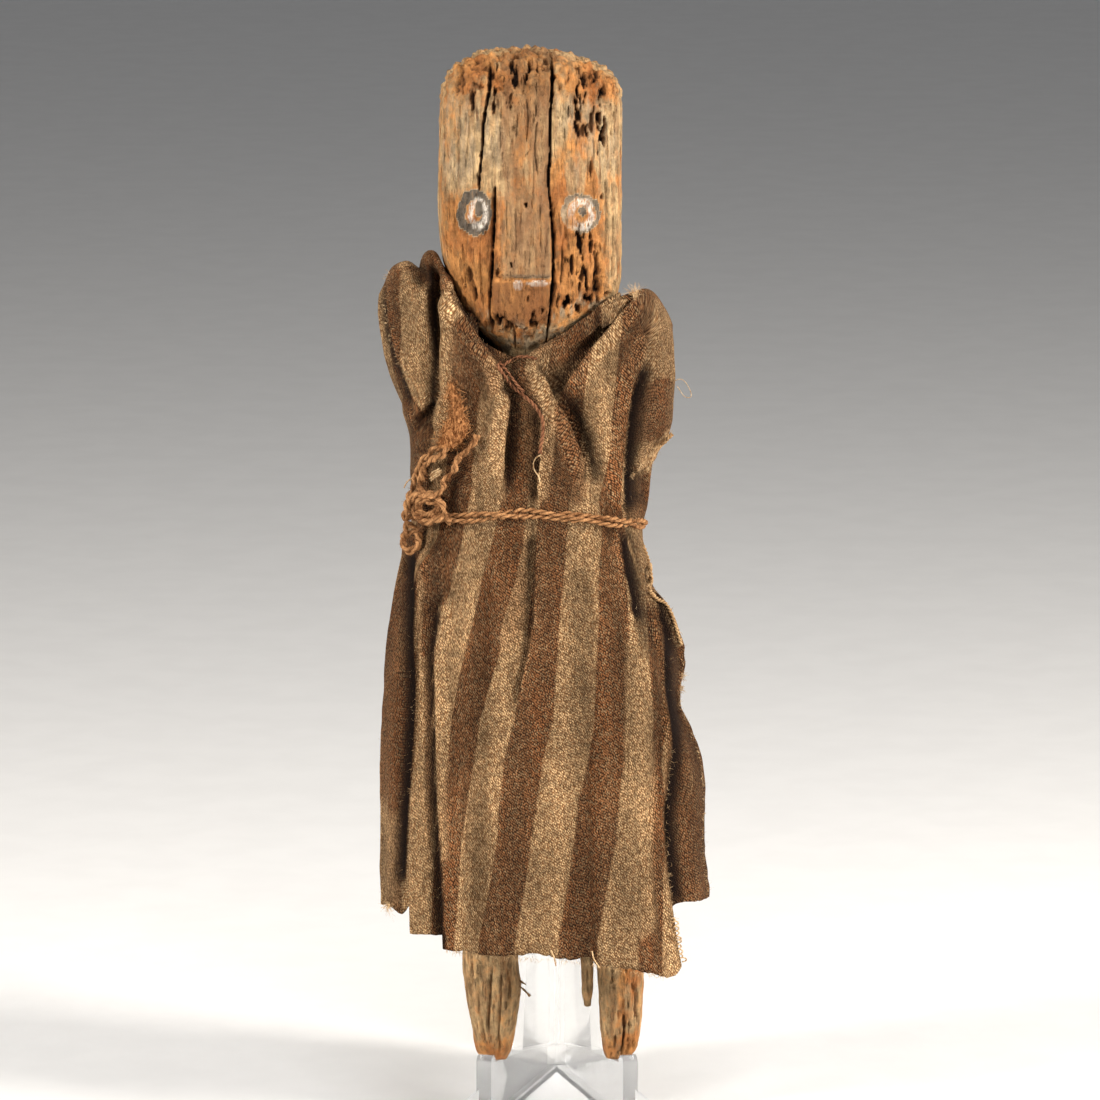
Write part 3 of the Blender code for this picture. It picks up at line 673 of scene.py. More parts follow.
class Finish:
    """A node material, with short ways to add its nodes."""

    def __init__(self, name: str) -> None:
        """Start an empty Principled material."""
        self.material = bpy.data.materials.new(name)
        self.material.use_nodes = True
        self.tree = self.material.node_tree
        self.shader = self.tree.nodes["Principled BSDF"]

    def node(self, kind: str, **inputs: object) -> bpy.types.Node:
        """A node of a kind, its inputs set by name, or linked where a socket is given."""
        made = self.tree.nodes.new(kind)
        for name, value in inputs.items():
            self.feed(made.inputs[name.replace("_", " ")], value)
        return made

    def feed(self, socket: Socket, value: object) -> None:
        """Set a socket to a value, or link it to another socket."""
        if isinstance(value, Socket):
            self.tree.links.new(value, socket)
        else:
            socket.default_value = value

    def maths(self, operation: str, *values: object, clamp: bool = False) -> Socket:
        """The result of a Math node."""
        made = self.tree.nodes.new("ShaderNodeMath")
        made.operation = operation
        made.use_clamp = clamp
        for number, value in enumerate(values):
            self.feed(made.inputs[number], value)
        return made.outputs[0]

    def times(self, colour: object, value: Socket) -> Socket:
        """A colour multiplied by a value."""
        grey = self.node("ShaderNodeCombineColor", Red=value, Green=value, Blue=value)
        return self.mix(1.0, colour, grey.outputs["Color"], "MULTIPLY")

    def plus(self, value: Socket, other: Socket, times: float) -> Socket:
        """A value plus so many times another."""
        return self.maths("ADD", value, self.maths("MULTIPLY", other, times))

    def place(self, scale: Triple) -> Socket:
        """Object coordinates, scaled."""
        coordinates = self.tree.nodes.new("ShaderNodeTexCoord")
        return self.mapped(coordinates.outputs["Object"], scale)

    def mapped(self, vector: object, scale: Triple, turn: float = 0.0) -> Socket:
        """A vector, scaled, and turned about z."""
        mapping = self.tree.nodes.new("ShaderNodeMapping")
        mapping.inputs["Scale"].default_value = scale
        mapping.inputs["Rotation"].default_value = (0, 0, turn)
        self.feed(mapping.inputs["Vector"], vector)
        return mapping.outputs["Vector"]

    def grained(self, scale: Triple) -> Socket:
        """Object coordinates turned upright with the figure and scaled, so that z runs along the grain."""
        coordinates = self.tree.nodes.new("ShaderNodeTexCoord")
        upright = self.tree.nodes.new("ShaderNodeMapping")
        upright.inputs["Rotation"].default_value = (FRAME.lean, 0, 0)
        self.feed(upright.inputs["Vector"], coordinates.outputs["Object"])
        return self.mapped(upright.outputs["Vector"], scale)

    def uv(self, name: str) -> Socket:
        """The piece's own UV map, in metres."""
        made = self.tree.nodes.new("ShaderNodeUVMap")
        made.uv_map = name
        return made.outputs["UV"]

    def attribute(self, name: str) -> tuple[Socket, ...]:
        """The four values of a colour attribute."""
        made = self.tree.nodes.new("ShaderNodeAttribute")
        made.attribute_name = name
        parts = self.tree.nodes.new("ShaderNodeSeparateColor")
        self.tree.links.new(made.outputs["Color"], parts.inputs["Color"])
        return (*parts.outputs[:3], made.outputs["Alpha"])

    def noise(self, vector: object, detail: float = 3.0, roughness: float = 0.55) -> Socket:
        """A noise value, 0 to 1."""
        made = self.node("ShaderNodeTexNoise", Scale=1.0, Detail=detail, Roughness=roughness)
        self.feed(made.inputs["Vector"], vector)
        return made.outputs["Fac"]

    def cells(self, vector: object, randomness: float) -> bpy.types.Node:
        """A flat Voronoi node with one cell a unit."""
        made = self.tree.nodes.new("ShaderNodeTexVoronoi")
        made.voronoi_dimensions = "2D"
        self.feed(made.inputs["Scale"], 1.0)
        self.feed(made.inputs["Randomness"], randomness)
        self.feed(made.inputs["Vector"], vector)
        return made

    def spread(
        self, value: object, low: float, high: float, to_low: float = 0.0, to_high: float = 1.0
    ) -> Socket:
        """A value's range stretched to another, and kept in it."""
        made = self.tree.nodes.new("ShaderNodeMapRange")
        made.clamp = True
        made.interpolation_type = "SMOOTHSTEP"
        for name, number in zip(("From Min", "From Max", "To Min", "To Max"), (low, high, to_low, to_high)):
            made.inputs[name].default_value = number
        self.feed(made.inputs["Value"], value)
        return made.outputs["Result"]

    def mix(self, share: object, first: object, second: object, mode: str = "MIX") -> Socket:
        """Two colours mixed by a share."""
        made = self.tree.nodes.new("ShaderNodeMix")
        made.data_type = "RGBA"
        made.blend_type = mode
        made.clamp_factor = True
        self.feed(made.inputs["Factor"], share)
        for number, value in ((6, first), (7, second)):
            solid = isinstance(value, tuple) and len(value) == 3
            self.feed(made.inputs[number], (*value, 1.0) if solid else value)
        return made.outputs[2]

    def bump(self, height: object, distance: float, strength: float = 1.0, under: object = None) -> Socket:
        """A bumped normal from a height of 0 to 1 that is so many metres deep."""
        made = self.tree.nodes.new("ShaderNodeBump")
        made.inputs["Strength"].default_value = strength
        made.inputs["Distance"].default_value = distance
        self.feed(made.inputs["Height"], height)
        if under is not None:
            self.feed(made.inputs["Normal"], under)
        return made.outputs["Normal"]

    def finish(self, **inputs: object) -> Material:
        """Set the shader's inputs by name and return the material."""
        for name, value in inputs.items():
            self.feed(self.shader.inputs[name.replace("_", " ")], value)
        return self.material


@dataclass(frozen=True)
class WeatheredWood:
    """Old dry wood: tan with darker streaks, and what is left of orange, grey and white paint."""

    pale: Colour = (0.60, 0.405, 0.205)
    brown: Colour = (0.30, 0.165, 0.075)
    # shade is the brown of the painted shade in shallow holes and slits, also of random crumbs and the
    # darker chin and nose; dark is the painted shade deep in the holes.
    shade: Colour = (0.17, 0.070, 0.025)
    dark: Colour = (0.016, 0.007, 0.004)
    orange: Colour = (0.53, 0.225, 0.062)
    orange_deep: Colour = (0.34, 0.110, 0.025)
    grey: Colour = (0.39, 0.305, 0.200)
    eye_grey: Colour = (0.100, 0.084, 0.068)
    white: Colour = (0.74, 0.66, 0.57)

    def make(self) -> Material:
        """Streaks along the grain, paint where the piece's zones say, and painted shade in its pits, cracks
        and slits.
        """
        finish = Finish("weathered_wood")
        streaks = finish.noise(finish.grained((480, 480, 75)), 5.0, 0.62)
        fibres = finish.noise(finish.grained((2000, 2000, 290)), 4.0, 0.65)
        slits = finish.noise(finish.grained((900, 900, 120)), 3.0, 0.5)
        blotches = finish.noise(finish.grained((110, 110, 60)), 4.0, 0.6)
        crumbs = finish.noise(finish.grained((1500, 1500, 1000)), 3.0, 0.6)
        mottle = finish.noise(finish.grained((380, 380, 300)), 5.0, 0.65)
        orange, grey, white, dark = finish.attribute("zones")
        colour = finish.mix(finish.spread(streaks, 0.34, 0.64), self.brown, self.pale)
        colour = finish.mix(finish.spread(blotches, 0.40, 0.66, 0.0, 0.45), colour, self.pale)
        worn = finish.plus(orange, finish.maths("SUBTRACT", mottle, 0.5), 1.3)
        paint = finish.mix(finish.spread(blotches, 0.36, 0.62), self.orange_deep, self.orange)
        colour = finish.mix(finish.spread(worn, 0.15, 0.75, 0.0, 0.88), colour, paint)
        left = finish.plus(grey, finish.maths("SUBTRACT", fibres, 0.5), 1.1)
        colour = finish.mix(finish.spread(left, 0.10, 0.85, 0.0, 0.85), colour, self.grey)
        colour = finish.mix(finish.spread(grey, 1.02, 1.2, 0.0, 0.9), colour, self.eye_grey)
        colour = finish.mix(finish.spread(fibres, 0.52, 0.74, 0.0, 0.5), colour, self.brown)
        # Painted shade in the grain slits that the bump sinks, then random darker crumbs.
        colour = finish.mix(finish.spread(slits, 0.61, 0.74, 0.0, 0.7), colour, self.shade)
        colour = finish.mix(finish.spread(crumbs, 0.60, 0.74, 0.0, 0.4), colour, self.shade)
        chipped = finish.spread(finish.plus(fibres, crumbs, 0.7), 0.74, 1.0, 1.0, 0.1)
        colour = finish.mix(finish.maths("MULTIPLY", white, chipped), colour, self.white)
        colour = finish.times(colour, finish.spread(mottle, 0.32, 0.68, 0.54, 1.13))
        # Painted shade by the zones' dark value: brown where holes are shallow, near black where they are
        # deep.
        colour = finish.mix(finish.spread(dark, 0.05, 0.50, 0.0, 0.85), colour, self.shade)
        colour = finish.mix(finish.spread(dark, 0.50, 0.97), colour, self.dark)
        ridges = finish.bump(streaks, 0.0010, 1.0)
        lumps = finish.bump(mottle, 0.0011, 1.0, ridges)
        grooves = finish.bump(finish.spread(slits, 0.54, 0.72, 1.0, 0.0), 0.0006, 1.0, lumps)
        normal = finish.bump(fibres, 0.00050, 1.0, grooves)
        normal = finish.bump(crumbs, 0.00030, 1.0, normal)
        return finish.finish(Base_Color=colour, Roughness=0.88, Normal=normal, Specular_IOR_Level=0.18)


@dataclass(frozen=True)
class StripedWool:
    """Hand-woven wool: stripes of equal width along the warp, and the slanting grains of its yarns."""

    stripe: float = 0.014
    blur: float = 0.00045
    grain: Pair = (0.00058, 0.00092)
    randomness: float = 0.52
    slant: float = 0.5
    lean: float = -0.45
    # The darker tan and brown are the dyes in painted shade between the grains; the others carry the painted
    # highlight of the crowns.
    tan: Colour = (0.67, 0.440, 0.228)
    tan_shaded: Colour = (0.140, 0.064, 0.023)
    brown: Colour = (0.280, 0.131, 0.055)
    brown_shaded: Colour = (0.030, 0.011, 0.004)
    reddish: Colour = (0.318, 0.129, 0.048)
    fleck: Colour = (0.50, 0.318, 0.162)
    # Near black for the painted shade in the gaps between layers.
    gap: Colour = (0.010, 0.004, 0.002)

    def make(self) -> Material:
        """Stripes from the cloth's own map, each grain with a painted highlight on its crown and painted
        shade between.
        """
        finish = Finish("striped_wool")
        uv = finish.uv("weave")
        parts = finish.node("ShaderNodeSeparateXYZ", Vector=uv)
        wobble = finish.noise(finish.mapped(uv, (400, 60, 1)), 2.0)
        dye = finish.node("ShaderNodeSeparateXYZ", Vector=finish.uv("stripes"))
        across = finish.plus(dye.outputs["X"], wobble, 0.0011)
        phase = finish.maths("FRACT", finish.maths("DIVIDE", across, 2 * self.stripe))
        edge = self.blur / (2 * self.stripe)
        rise = finish.spread(phase, 0.5 - edge, 0.5 + edge)
        wrap = finish.spread(phase, 1.0 - 2 * edge, 1.0)
        is_brown = finish.maths("SUBTRACT", rise, wrap, clamp=True)
        is_brown = finish.maths("ADD", is_brown, dye.outputs["Y"], clamp=True)
        grains, crown, tint = self.grains(finish, parts)
        warm = finish.spread(finish.noise(finish.mapped(uv, (150, 14, 1)), 3.0), 0.42, 0.66)
        brown = finish.mix(warm, self.brown, self.reddish)
        light = finish.mix(finish.spread(tint, 0.4, 0.95, 0.0, 0.5), self.tan, brown)
        dim = finish.mix(is_brown, self.tan_shaded, self.brown_shaded)
        full = finish.mix(is_brown, light, brown)
        fleck = finish.maths("MULTIPLY", finish.spread(tint, 0.62, 0.86), is_brown)
        full = finish.mix(finish.maths("MULTIPLY", fleck, 0.7), full, self.fleck)
        full = finish.times(full, finish.spread(tint, 0.0, 1.0, 1.15, 0.85))
        # Painted highlight on each grain's crown, and painted shade between the grains.
        colour = finish.mix(crown, dim, full)
        soil = finish.spread(finish.noise(finish.place((45, 45, 30)), 4.0), 0.35, 0.7, 0.72, 1.12)
        mottle = finish.spread(finish.noise(finish.place((680, 680, 480)), 2.0), 0.34, 0.66, 0.74, 1.26)
        colour = finish.times(colour, finish.maths("MULTIPLY", soil, mottle))
        # Painted shade of the gaps and inside the hem, and a painted highlight on ridges with painted shade
        # in hollows.
        gap, relief, _, _ = finish.attribute("painted_shade")
        colour = finish.times(colour, finish.spread(relief, 0.0, 1.0, 0.68, 1.36))
        colour = finish.mix(gap, colour, self.gap)
        lumps = finish.bump(finish.noise(finish.mapped(uv, (600, 380, 1)), 3.0), 0.0010, 0.7)
        normal = finish.bump(grains, 0.00095, 1.0, lumps)
        return finish.finish(Base_Color=colour, Roughness=0.95, Normal=normal, Specular_IOR_Level=0.1)

    def grains(self, finish: Finish, parts: bpy.types.Node) -> tuple:
        """The height of the slanting grains, their crowns for the painted highlight, and a value of each
        grain's own.
        """
        wide, tall = self.grain
        column = finish.maths("DIVIDE", parts.outputs["X"], wide)
        row = finish.maths("DIVIDE", parts.outputs["Y"], tall)
        slanted = finish.plus(row, column, self.slant)
        leaning = finish.plus(column, row, self.lean)
        lattice = finish.node("ShaderNodeCombineXYZ", X=leaning, Y=slanted)
        cells = finish.cells(lattice.outputs["Vector"], self.randomness)
        height = finish.spread(cells.outputs["Distance"], 0.04, 0.62, 1.0, 0.0)
        crown = finish.spread(cells.outputs["Distance"], 0.17, 0.64, 1.0, 0.0)
        tint = finish.node("ShaderNodeSeparateColor", Color=cells.outputs["Color"])
        return height, crown, tint.outputs[0]


@dataclass(frozen=True)
class WoolYarn:
    """Plied wool yarn: hairy, with painted shade in the grooves between its plies."""

    name: str
    light: Colour
    dark: Colour

    def make(self) -> Material:
        """Fine streaks along the yarn with darker, redder stretches, and painted shade in the grooves
        between its plies.
        """
        finish = Finish(self.name)
        uv = finish.uv("lay")
        fibres = finish.noise(finish.mapped(uv, (1500, 4200, 1), 0.5), 3.0)
        stretches = finish.noise(finish.place((260, 260, 260)), 3.0)
        share = finish.plus(finish.maths("MULTIPLY", fibres, 0.6), stretches, 0.5)
        colour = finish.mix(finish.spread(share, 0.40, 0.68), self.dark, self.light)
        place = finish.node("ShaderNodeSeparateXYZ", Vector=uv)
        # Painted shade in the grooves between the plies.
        groove = finish.spread(finish.maths("ABSOLUTE", place.outputs["Y"]), 0.0001, 0.0009, 0.8, 0.0)
        colour = finish.mix(groove, colour, tuple(0.55 * part for part in self.dark))
        normal = finish.bump(fibres, 0.0004, 1.0)
        return finish.finish(Base_Color=colour, Roughness=0.95, Normal=normal, Specular_IOR_Level=0.1)


@dataclass(frozen=True)
class LooseWool:
    """Loose wool fibres of one hue, each a little lighter or darker."""

    name: str
    light: Colour
    dark: Colour

    def make(self) -> Material:
        """Patches of lighter and darker fibre."""
        finish = Finish(self.name)
        patches = finish.noise(finish.place((1300, 900, 450)), 4.0, 0.65)
        colour = finish.mix(finish.spread(patches, 0.41, 0.61), self.dark, self.light)
        return finish.finish(Base_Color=colour, Roughness=0.95, Specular_IOR_Level=0.1)


@dataclass(frozen=True)
class ClearPlastic:
    """Clear moulded plastic: see-through, smooth, with faint scuffs."""

    colour: tuple[float, float, float, float] = (0.97, 0.985, 1.0, 1.0)
    roughness: float = 0.06
    refraction: float = 1.25
    cover: float = 0.75

    def make(self) -> Material:
        """Plain values on the shader, and a slight waviness from the mould."""
        finish = Finish("clear_plastic")
        waves = finish.bump(finish.noise(finish.place((60, 60, 40)), 2.0), 0.0004, 0.25)
        finish.shader.inputs["Transmission Weight"].default_value = 1.0
        finish.shader.inputs["IOR"].default_value = self.refraction
        finish.shader.inputs["Base Color"].default_value = self.colour
        finish.shader.inputs["Alpha"].default_value = self.cover
        return finish.finish(Roughness=self.roughness, Normal=waves)


# The wood


@dataclass(frozen=True)
class Crack:
    """A split in the wood: where it runs in the picture, its width and its depth in millimetres."""

    trace: Trace
    width: float
    depth: float

    def cut(self, spots: Points) -> Points:
        """How deep it cuts at each place: a groove with steep sides that runs out at both ends."""
        signed, from_end, _ = trace_distance(spots, self.trace)
        ragged = 1 + 0.6 * lattice_noise(flat_place(spots) / 5, 71)
        width = self.width * ragged * (0.4 + 0.6 * smooth_step(from_end, 0, 6))
        return self.depth * np.exp(-((signed / width) ** 4)) * smooth_step(from_end, -0.1, 2.5)


@dataclass(frozen=True)
class Oval:
    """An oval in the picture: its middle and its half size, in pixels."""

    middle: Pair
    half: Pair

    def reach(self, spots: Points) -> Points:
        """The distance of each place from the middle, as a share of the half size."""
        away = (spots - np.array(self.middle)) / np.array(self.half)
        return np.hypot(away[..., 0], away[..., 1])

    def bell(self, spots: Points) -> Points:
        """exp(-reach^2) at each place."""
        return np.exp(-(self.reach(spots) ** 2))

    def near(self, spots: Points) -> Points:
        """Which places are close enough for the oval's edge, however torn, to reach them."""
        return np.all(np.abs(spots - np.array(self.middle)) < 2.4 * np.array(self.half), axis=-1)


@dataclass(frozen=True)
class Pit(Oval):
    """A worm-eaten or rotted pit, its depth in millimetres."""

    depth: float

    def cut(self, spots: Points) -> Points:
        """How deep it cuts at each place: a torn hole whose edge wanders with noise along the grain."""
        wobble = 1.2 * layered_noise(flat_place(spots), (3.4, 9, 1), 72)
        return self.depth * smooth_step(wobble - self.reach(spots), -1.0, -0.45)


@dataclass(frozen=True)
class Eaten(Oval):
    """A part of the wood that is eaten out along its grain.

    The share is how much of it is gone, and the depth is in millimetres.
    """

    share: float
    depth: float

    def cut(self, spots: Points) -> Points:
        """How deep it cuts at each place: slits where noise that is long along the grain is high."""
        inside = falling(self.reach(spots), 0.7, 1.15)
        holes = layered_noise(flat_place(spots), (3.6, 13, 1), 73)
        limit = 0.42 - 0.75 * self.share
        return self.depth * inside * smooth_step(holes, limit, limit + 0.42)


@dataclass(frozen=True)
class Ring(Oval):
    """A painted ring, or a full spot: its inner edge is a share of its half size, negative for a spot."""

    inner: float = -1.0

    def cover(self, spots: Points, seed: int) -> Points:
        """How much paint is on each place, worn at its edges."""
        reach = self.reach(spots) + 0.12 * layered_noise(flat_place(spots), (4, 6, 1), seed)
        return within(reach, (self.inner - 0.1, self.inner + 0.08), (0.92, 1.08))


HEAD_CRACKS = tuple(
    Crack(tuple(trace), width, depth)
    for width, depth, *trace in (
        (0.36, 4.2, (490, 60), (489, 78), (488, 96), (484, 118), (482, 145), (480, 172), (479, 192)),
        (0.65, 1.6, (491, 60), (491, 75), (489, 98)),
        (0.36, 4.2, (495, 183), (495, 212), (493, 252), (491, 285), (490, 314), (493, 336)),
        (0.55, 1.3, (495, 190), (494, 225), (493, 256)),
        (0.34, 4.8, (552, 50), (552, 91), (550, 122), (550, 152), (548, 177), (550, 203), (553, 240),
         (553, 270), (551, 297), (546, 345)),
        (0.6, 1.6, (553, 56), (552, 80), (551, 108)), (0.55, 1.4, (554, 262), (553, 285), (550, 312)),
        (0.65, 1.6, (477, 170), (478, 180), (480, 192)), (0.4, 1.6, (463, 66), (462, 78), (463, 92)),
        (0.35, 1.2, (455, 70), (455, 84), (457, 98)), (0.2, 0.5, (506, 195), (507, 225), (506, 262)),
        (0.2, 0.4, (515, 206), (516, 240), (514, 268)), (0.2, 0.5, (529, 190), (531, 226), (529, 270)),
        (0.2, 0.4, (541, 185), (540, 225), (542, 268)), (0.3, 0.9, (527, 96), (528, 120), (526, 144)),
        (0.25, 0.8, (518, 108), (517, 128), (518, 142)), (0.25, 0.7, (502, 100), (500, 130), (502, 160)),
        (0.25, 0.6, (470, 110), (468, 140), (466, 170)), (0.25, 0.5, (566, 100), (565, 130), (567, 165)),
        (0.3, 0.9, (606, 180), (607, 220), (604, 260)), (0.3, 0.9, (614, 210), (614, 250), (612, 280)),
        (0.3, 0.7, (446, 190), (447, 220), (448, 250)), (0.3, 1.0, (462, 240), (464, 270), (466, 300)),
        (0.25, 0.8, (480, 250), (481, 280), (484, 310)), (0.35, 0.9, (537, 118), (535, 150), (538, 176)),
        (0.3, 0.8, (520, 161), (527, 154), (532, 147)), (0.45, 1.6, (592, 152), (591, 170), (590, 186)),
        (0.35, 0.6, (616, 40), (615, 120), (618, 190)), (0.35, 0.6, (455, 150), (454, 190), (456, 240)),
        (0.4, 1.2, (512, 318), (514, 330), (516, 350)), (0.4, 1.2, (563, 240), (562, 262), (560, 290)),
    )
)
HEAD_PITS = tuple(
    Pit((x, y), (wide, tall), depth)
    for x, y, wide, tall, depth in (
        (462, 78, 2.4, 11, 1.6), (472, 100, 3.0, 13, 2.0), (478, 86, 5.5, 3.0, 1.4),
        (445, 134, 2.2, 8, 1.2), (446, 156, 1.8, 6, 1.0), (493, 76, 3.6, 8, 1.8),
        (494, 100, 3.0, 12, 2.0), (516, 78, 4.0, 12, 2.2), (511, 95, 2.6, 8, 1.4),
        (577, 115, 4.2, 16, 2.2), (583, 131, 4.0, 5, 1.6), (603, 136, 4.2, 17, 2.8),
        (601, 96, 3.4, 9, 2.4), (611, 104, 2.2, 8, 1.8), (586, 78, 5.0, 6, 2.0), (596, 72, 4.5, 7, 2.2),
        (592, 122, 2.8, 14, 1.6), (618, 94, 2.2, 4, 1.6), (612, 211, 1.5, 8, 1.4),
        (603, 196, 2.0, 3, 1.4), (524, 204.5, 2.4, 2.4, 2.4), (511.6, 266, 1.8, 4.5, 1.8),
        (498, 273, 2.2, 4, 1.6), (580, 243, 3.6, 11, 2.4), (572, 262, 3.4, 14, 2.0),
        (591, 248, 2.6, 9, 2.0), (597, 262, 2.6, 10, 1.8), (583, 272, 2.8, 9, 1.8),
        (567, 301, 4.4, 6, 3.0), (588, 299, 5.0, 5, 2.6), (597, 290, 5.0, 4, 2.2),
        (607, 294, 4.0, 4, 2.0), (579, 308, 4.0, 4, 2.0), (461, 282, 1.8, 8, 1.6),
        (468, 275, 1.8, 9, 1.8), (474, 293, 2.2, 12, 2.0), (464, 300, 2.0, 6, 1.4),
        (502, 318, 6.0, 5, 2.4), (534, 323, 5.0, 4, 2.2), (512, 327, 4.0, 5, 1.8),
        (543, 310, 3.0, 3, 1.4), (529, 299, 2.2, 3.2, 1.0), (510, 303, 2.0, 3.0, 0.8),
    )
)
EATEN = tuple(
    Eaten((x, y), (wide, tall), share, depth)
    for x, y, wide, tall, share, depth in (
        (520, 72, 26, 26, 0.36, 2.6), (506, 96, 12, 16, 0.3, 2.0), (524, 124, 20, 40, 0.12, 1.1),
        (470, 84, 22, 18, 0.16, 1.6), (594, 84, 26, 26, 0.42, 2.8), (600, 120, 18, 34, 0.34, 2.8),
        (577, 110, 10, 30, 0.25, 2.2), (612, 150, 9, 30, 0.2, 1.4), (582, 262, 22, 42, 0.34, 2.4),
        (600, 292, 22, 16, 0.42, 2.6), (572, 302, 16, 16, 0.34, 2.6), (464, 286, 14, 24, 0.26, 1.8),
        (500, 322, 16, 10, 0.36, 2.2), (532, 322, 18, 12, 0.34, 2.2), (446, 150, 7, 32, 0.22, 1.2),
        (628, 1020, 14, 34, 0.24, 1.8), (608, 1034, 12, 18, 0.22, 1.4), (500, 1030, 12, 20, 0.12, 0.9),
    )
)
LEG_CRACKS = tuple(
    Crack(tuple(trace), width, depth)
    for width, depth, *trace in (
        (0.5, 1.8, (623, 1010), (624, 1030), (621, 1056)),
        (0.45, 1.6, (634, 975), (636, 1000), (634, 1020)),
        (0.3, 1.0, (627, 990), (628, 1005), (627, 1020)),
        (0.35, 0.8, (478, 965), (478, 1000), (486, 1045)),
        (0.5, 1.1, (502, 970), (501, 1000), (498, 1046)), (0.4, 1.2, (508, 965), (511, 985), (506, 1012)),
        (0.3, 0.8, (588, 965), (587, 980), (590, 998)), (0.45, 1.2, (472, 960), (470, 1000), (474, 1040)),
        (0.4, 1.2, (492, 965), (490, 1000), (488, 1035)),
    )
)
EYE_RINGS = (
    (Ring((474.5, 212.5), (17.5, 23.5), 0.50), 1.0),
    (Ring((581, 213), (20, 20.5), 0.72), 0.91),
)
EYE_WHITES = (Ring((478.3, 213.7), (10.2, 16), 0.52), Ring((581.5, 214.5), (13.5, 16.5), 0.56))
LOST_WHITE = Oval((571, 222), (7, 10))
PUPILS = (Ring((478.8, 209), (4.2, 9.0)), Ring((582.5, 211), (4.2, 5.2)))
WHITE_SPOTS = (Ring((517.8, 285.2), (4.6, 5.2)), Ring((538, 283.4), (12, 2.4)))


@dataclass
class CarvedFigure:
    """The wood: body and block head in one, two stub legs, and a splinter that hangs between them."""

    columns: int = 340
    head_rows: int = 186
    body_rows: int = 30
    head_from: float = 232.0
    roundness: float = 4.0
    leg_roundness: float = 2.8
    head_crowding: float = 1.6
    end_shares: tuple[float, ...] = (0.85, 0.68, 0.5, 0.33, 0.17, 0.02)
    end_dome: float = 0.25
    twig: Yarn = Yarn(0.75, 2, 5.0, Lay.RIGHT, 8, unevenness=0.3)
    body: tuple = (
        (48, -30.0, 27.5, -14.5, 14.5),
        (60, -29.5, 26.5, -15.5, 15.5),
        (120, -28.5, 25.0, -16.0, 15.5),
        (180, -28.5, 22.5, -16.0, 15.5),
        (214, -29.0, 20.0, -15.5, 15.0),
        (221, -24.0, 12.0, -14.0, 14.0),
        (227, -20.0, 4.5, -12.5, 13.0),
        (232, -20.0, 3.0, -13.5, 15.0),
        (236, -22.5, 4.5, -17.0, 17.0),
        (241, -27.4, 10.6, -21.0, 18.4),
        (247, -31.5, 17.6, -22.6, 19.0),
        (253, -34.0, 20.3, -23.0, 19.0),
        (262, -36.8, 20.9, -23.0, 19.0),
        (274, -38.2, 20.9, -23.0, 19.0),
        (293, -38.2, 21.0, -23.0, 19.0),
        (311, -38.0, 21.2, -22.6, 18.8),
        (318, -36.8, 20.2, -21.8, 18.2),
        (322.5, -34.8, 16.8, -20.3, 17.0),
        (326, -30.5, 10.6, -17.5, 14.5),
        (328.6, -25.0, 2.5, -13.0, 10.5),
        (330, -15.0, -5.0, -5.0, 4.0),
    )
    left_leg: tuple = (
        (0, -24.4, -16.8, -4.2, 4.4),
        (3, -26.4, -15.4, -6.0, 6.4),
        (9, -27.5, -14.0, -8.2, 8.2),
        (16, -28.9, -13.0, -9.2, 9.2),
        (24, -30.0, -12.0, -9.8, 10.0),
        (34, -30.8, -12.8, -10.4, 10.6),
        (56, -28.5, -9.0, -11.0, 11.0),
    )
    right_leg: tuple = (
        (0, 16.2, 23.4, -4.2, 4.4),
        (3, 15.2, 26.0, -6.0, 6.4),
        (9, 14.4, 27.2, -8.2, 8.2),
        (17, 14.0, 28.0, -9.4, 9.4),
        (28, 13.2, 28.2, -10.0, 10.2),
        (40, 11.5, 27.2, -10.6, 10.8),
        (56, 8.0, 25.5, -11.0, 11.0),
    )
    splinter: tuple = (
        (17.5, 9.0, 10.8, -4.4, -2.6),
        (22, 8.0, 11.4, -5.2, -1.8),
        (32, 7.6, 12.0, -5.6, -0.8),
        (56, 6.0, 12.4, -6.0, 2.0),
    )
    twigs: tuple = (
        ((-15.8, -2.0, 27.4), (-13.6, -4.0, 24.8), (-11.4, -4.6, 23.4), (-8.8, -5.0, 20.8)),
        ((-15.8, -2.0, 26.4), (-13.0, -3.6, 26.2), (-11.0, -4.0, 25.0), (-10.2, -4.4, 24.6)),
        ((-15.6, -3.0, 24.6), (-13.6, -4.2, 23.0), (-12.6, -4.4, 21.2), (-12.8, -4.4, 20.2)),
    )

    def profile(self, sections: tuple) -> tuple[Points, Points]:
        """The smooth curve through a table of sections, and how far along it each row is, 0 to 1."""
        dense = flowing(sections, 24)
        half_width = (dense[:, 2] - dense[:, 1]) / 2
        run = np.cumsum(np.hypot(np.gradient(dense[:, 0]), np.gradient(half_width)))
        return dense, (run - run[0]) / (run[-1] - run[0])

    def loft(
        self, sections: tuple, roundness: float, columns: int, places: Points, crowding: float
    ) -> Points:
        """Rounded sections carried along the height.

        Each row is a rounded square between the section's four limits, at the place along the profile that
        is asked for.

        Args:
            sections: Height, left, right, front and back.
            roundness: Of the rounded square.
            columns: Points in a row.
            places: Where the rows stand, as shares of the profile's length.
            crowding: How many times closer the points stand in front.

        Returns:
            The grid of points.
        """
        dense, run = self.profile(sections)
        rows = np.stack([np.interp(places, run, dense[:, k]) for k in range(5)], axis=1)
        height, left, right, front, back = rows.T[:, :, None]
        wide, deep = np.ptp(rows[:, 1:3]) / 2, np.ptp(rows[:, 3:5]) / 2
        across, depth = rounded_square(even_angles(columns, roundness, wide, deep, crowding)[:-1], roundness)
        x = (left + right) / 2 + (right - left) / 2 * across
        y = (front + back) / 2 + (back - front) / 2 * depth
        return np.stack([x, y, np.broadcast_to(height, x.shape)], axis=-1)

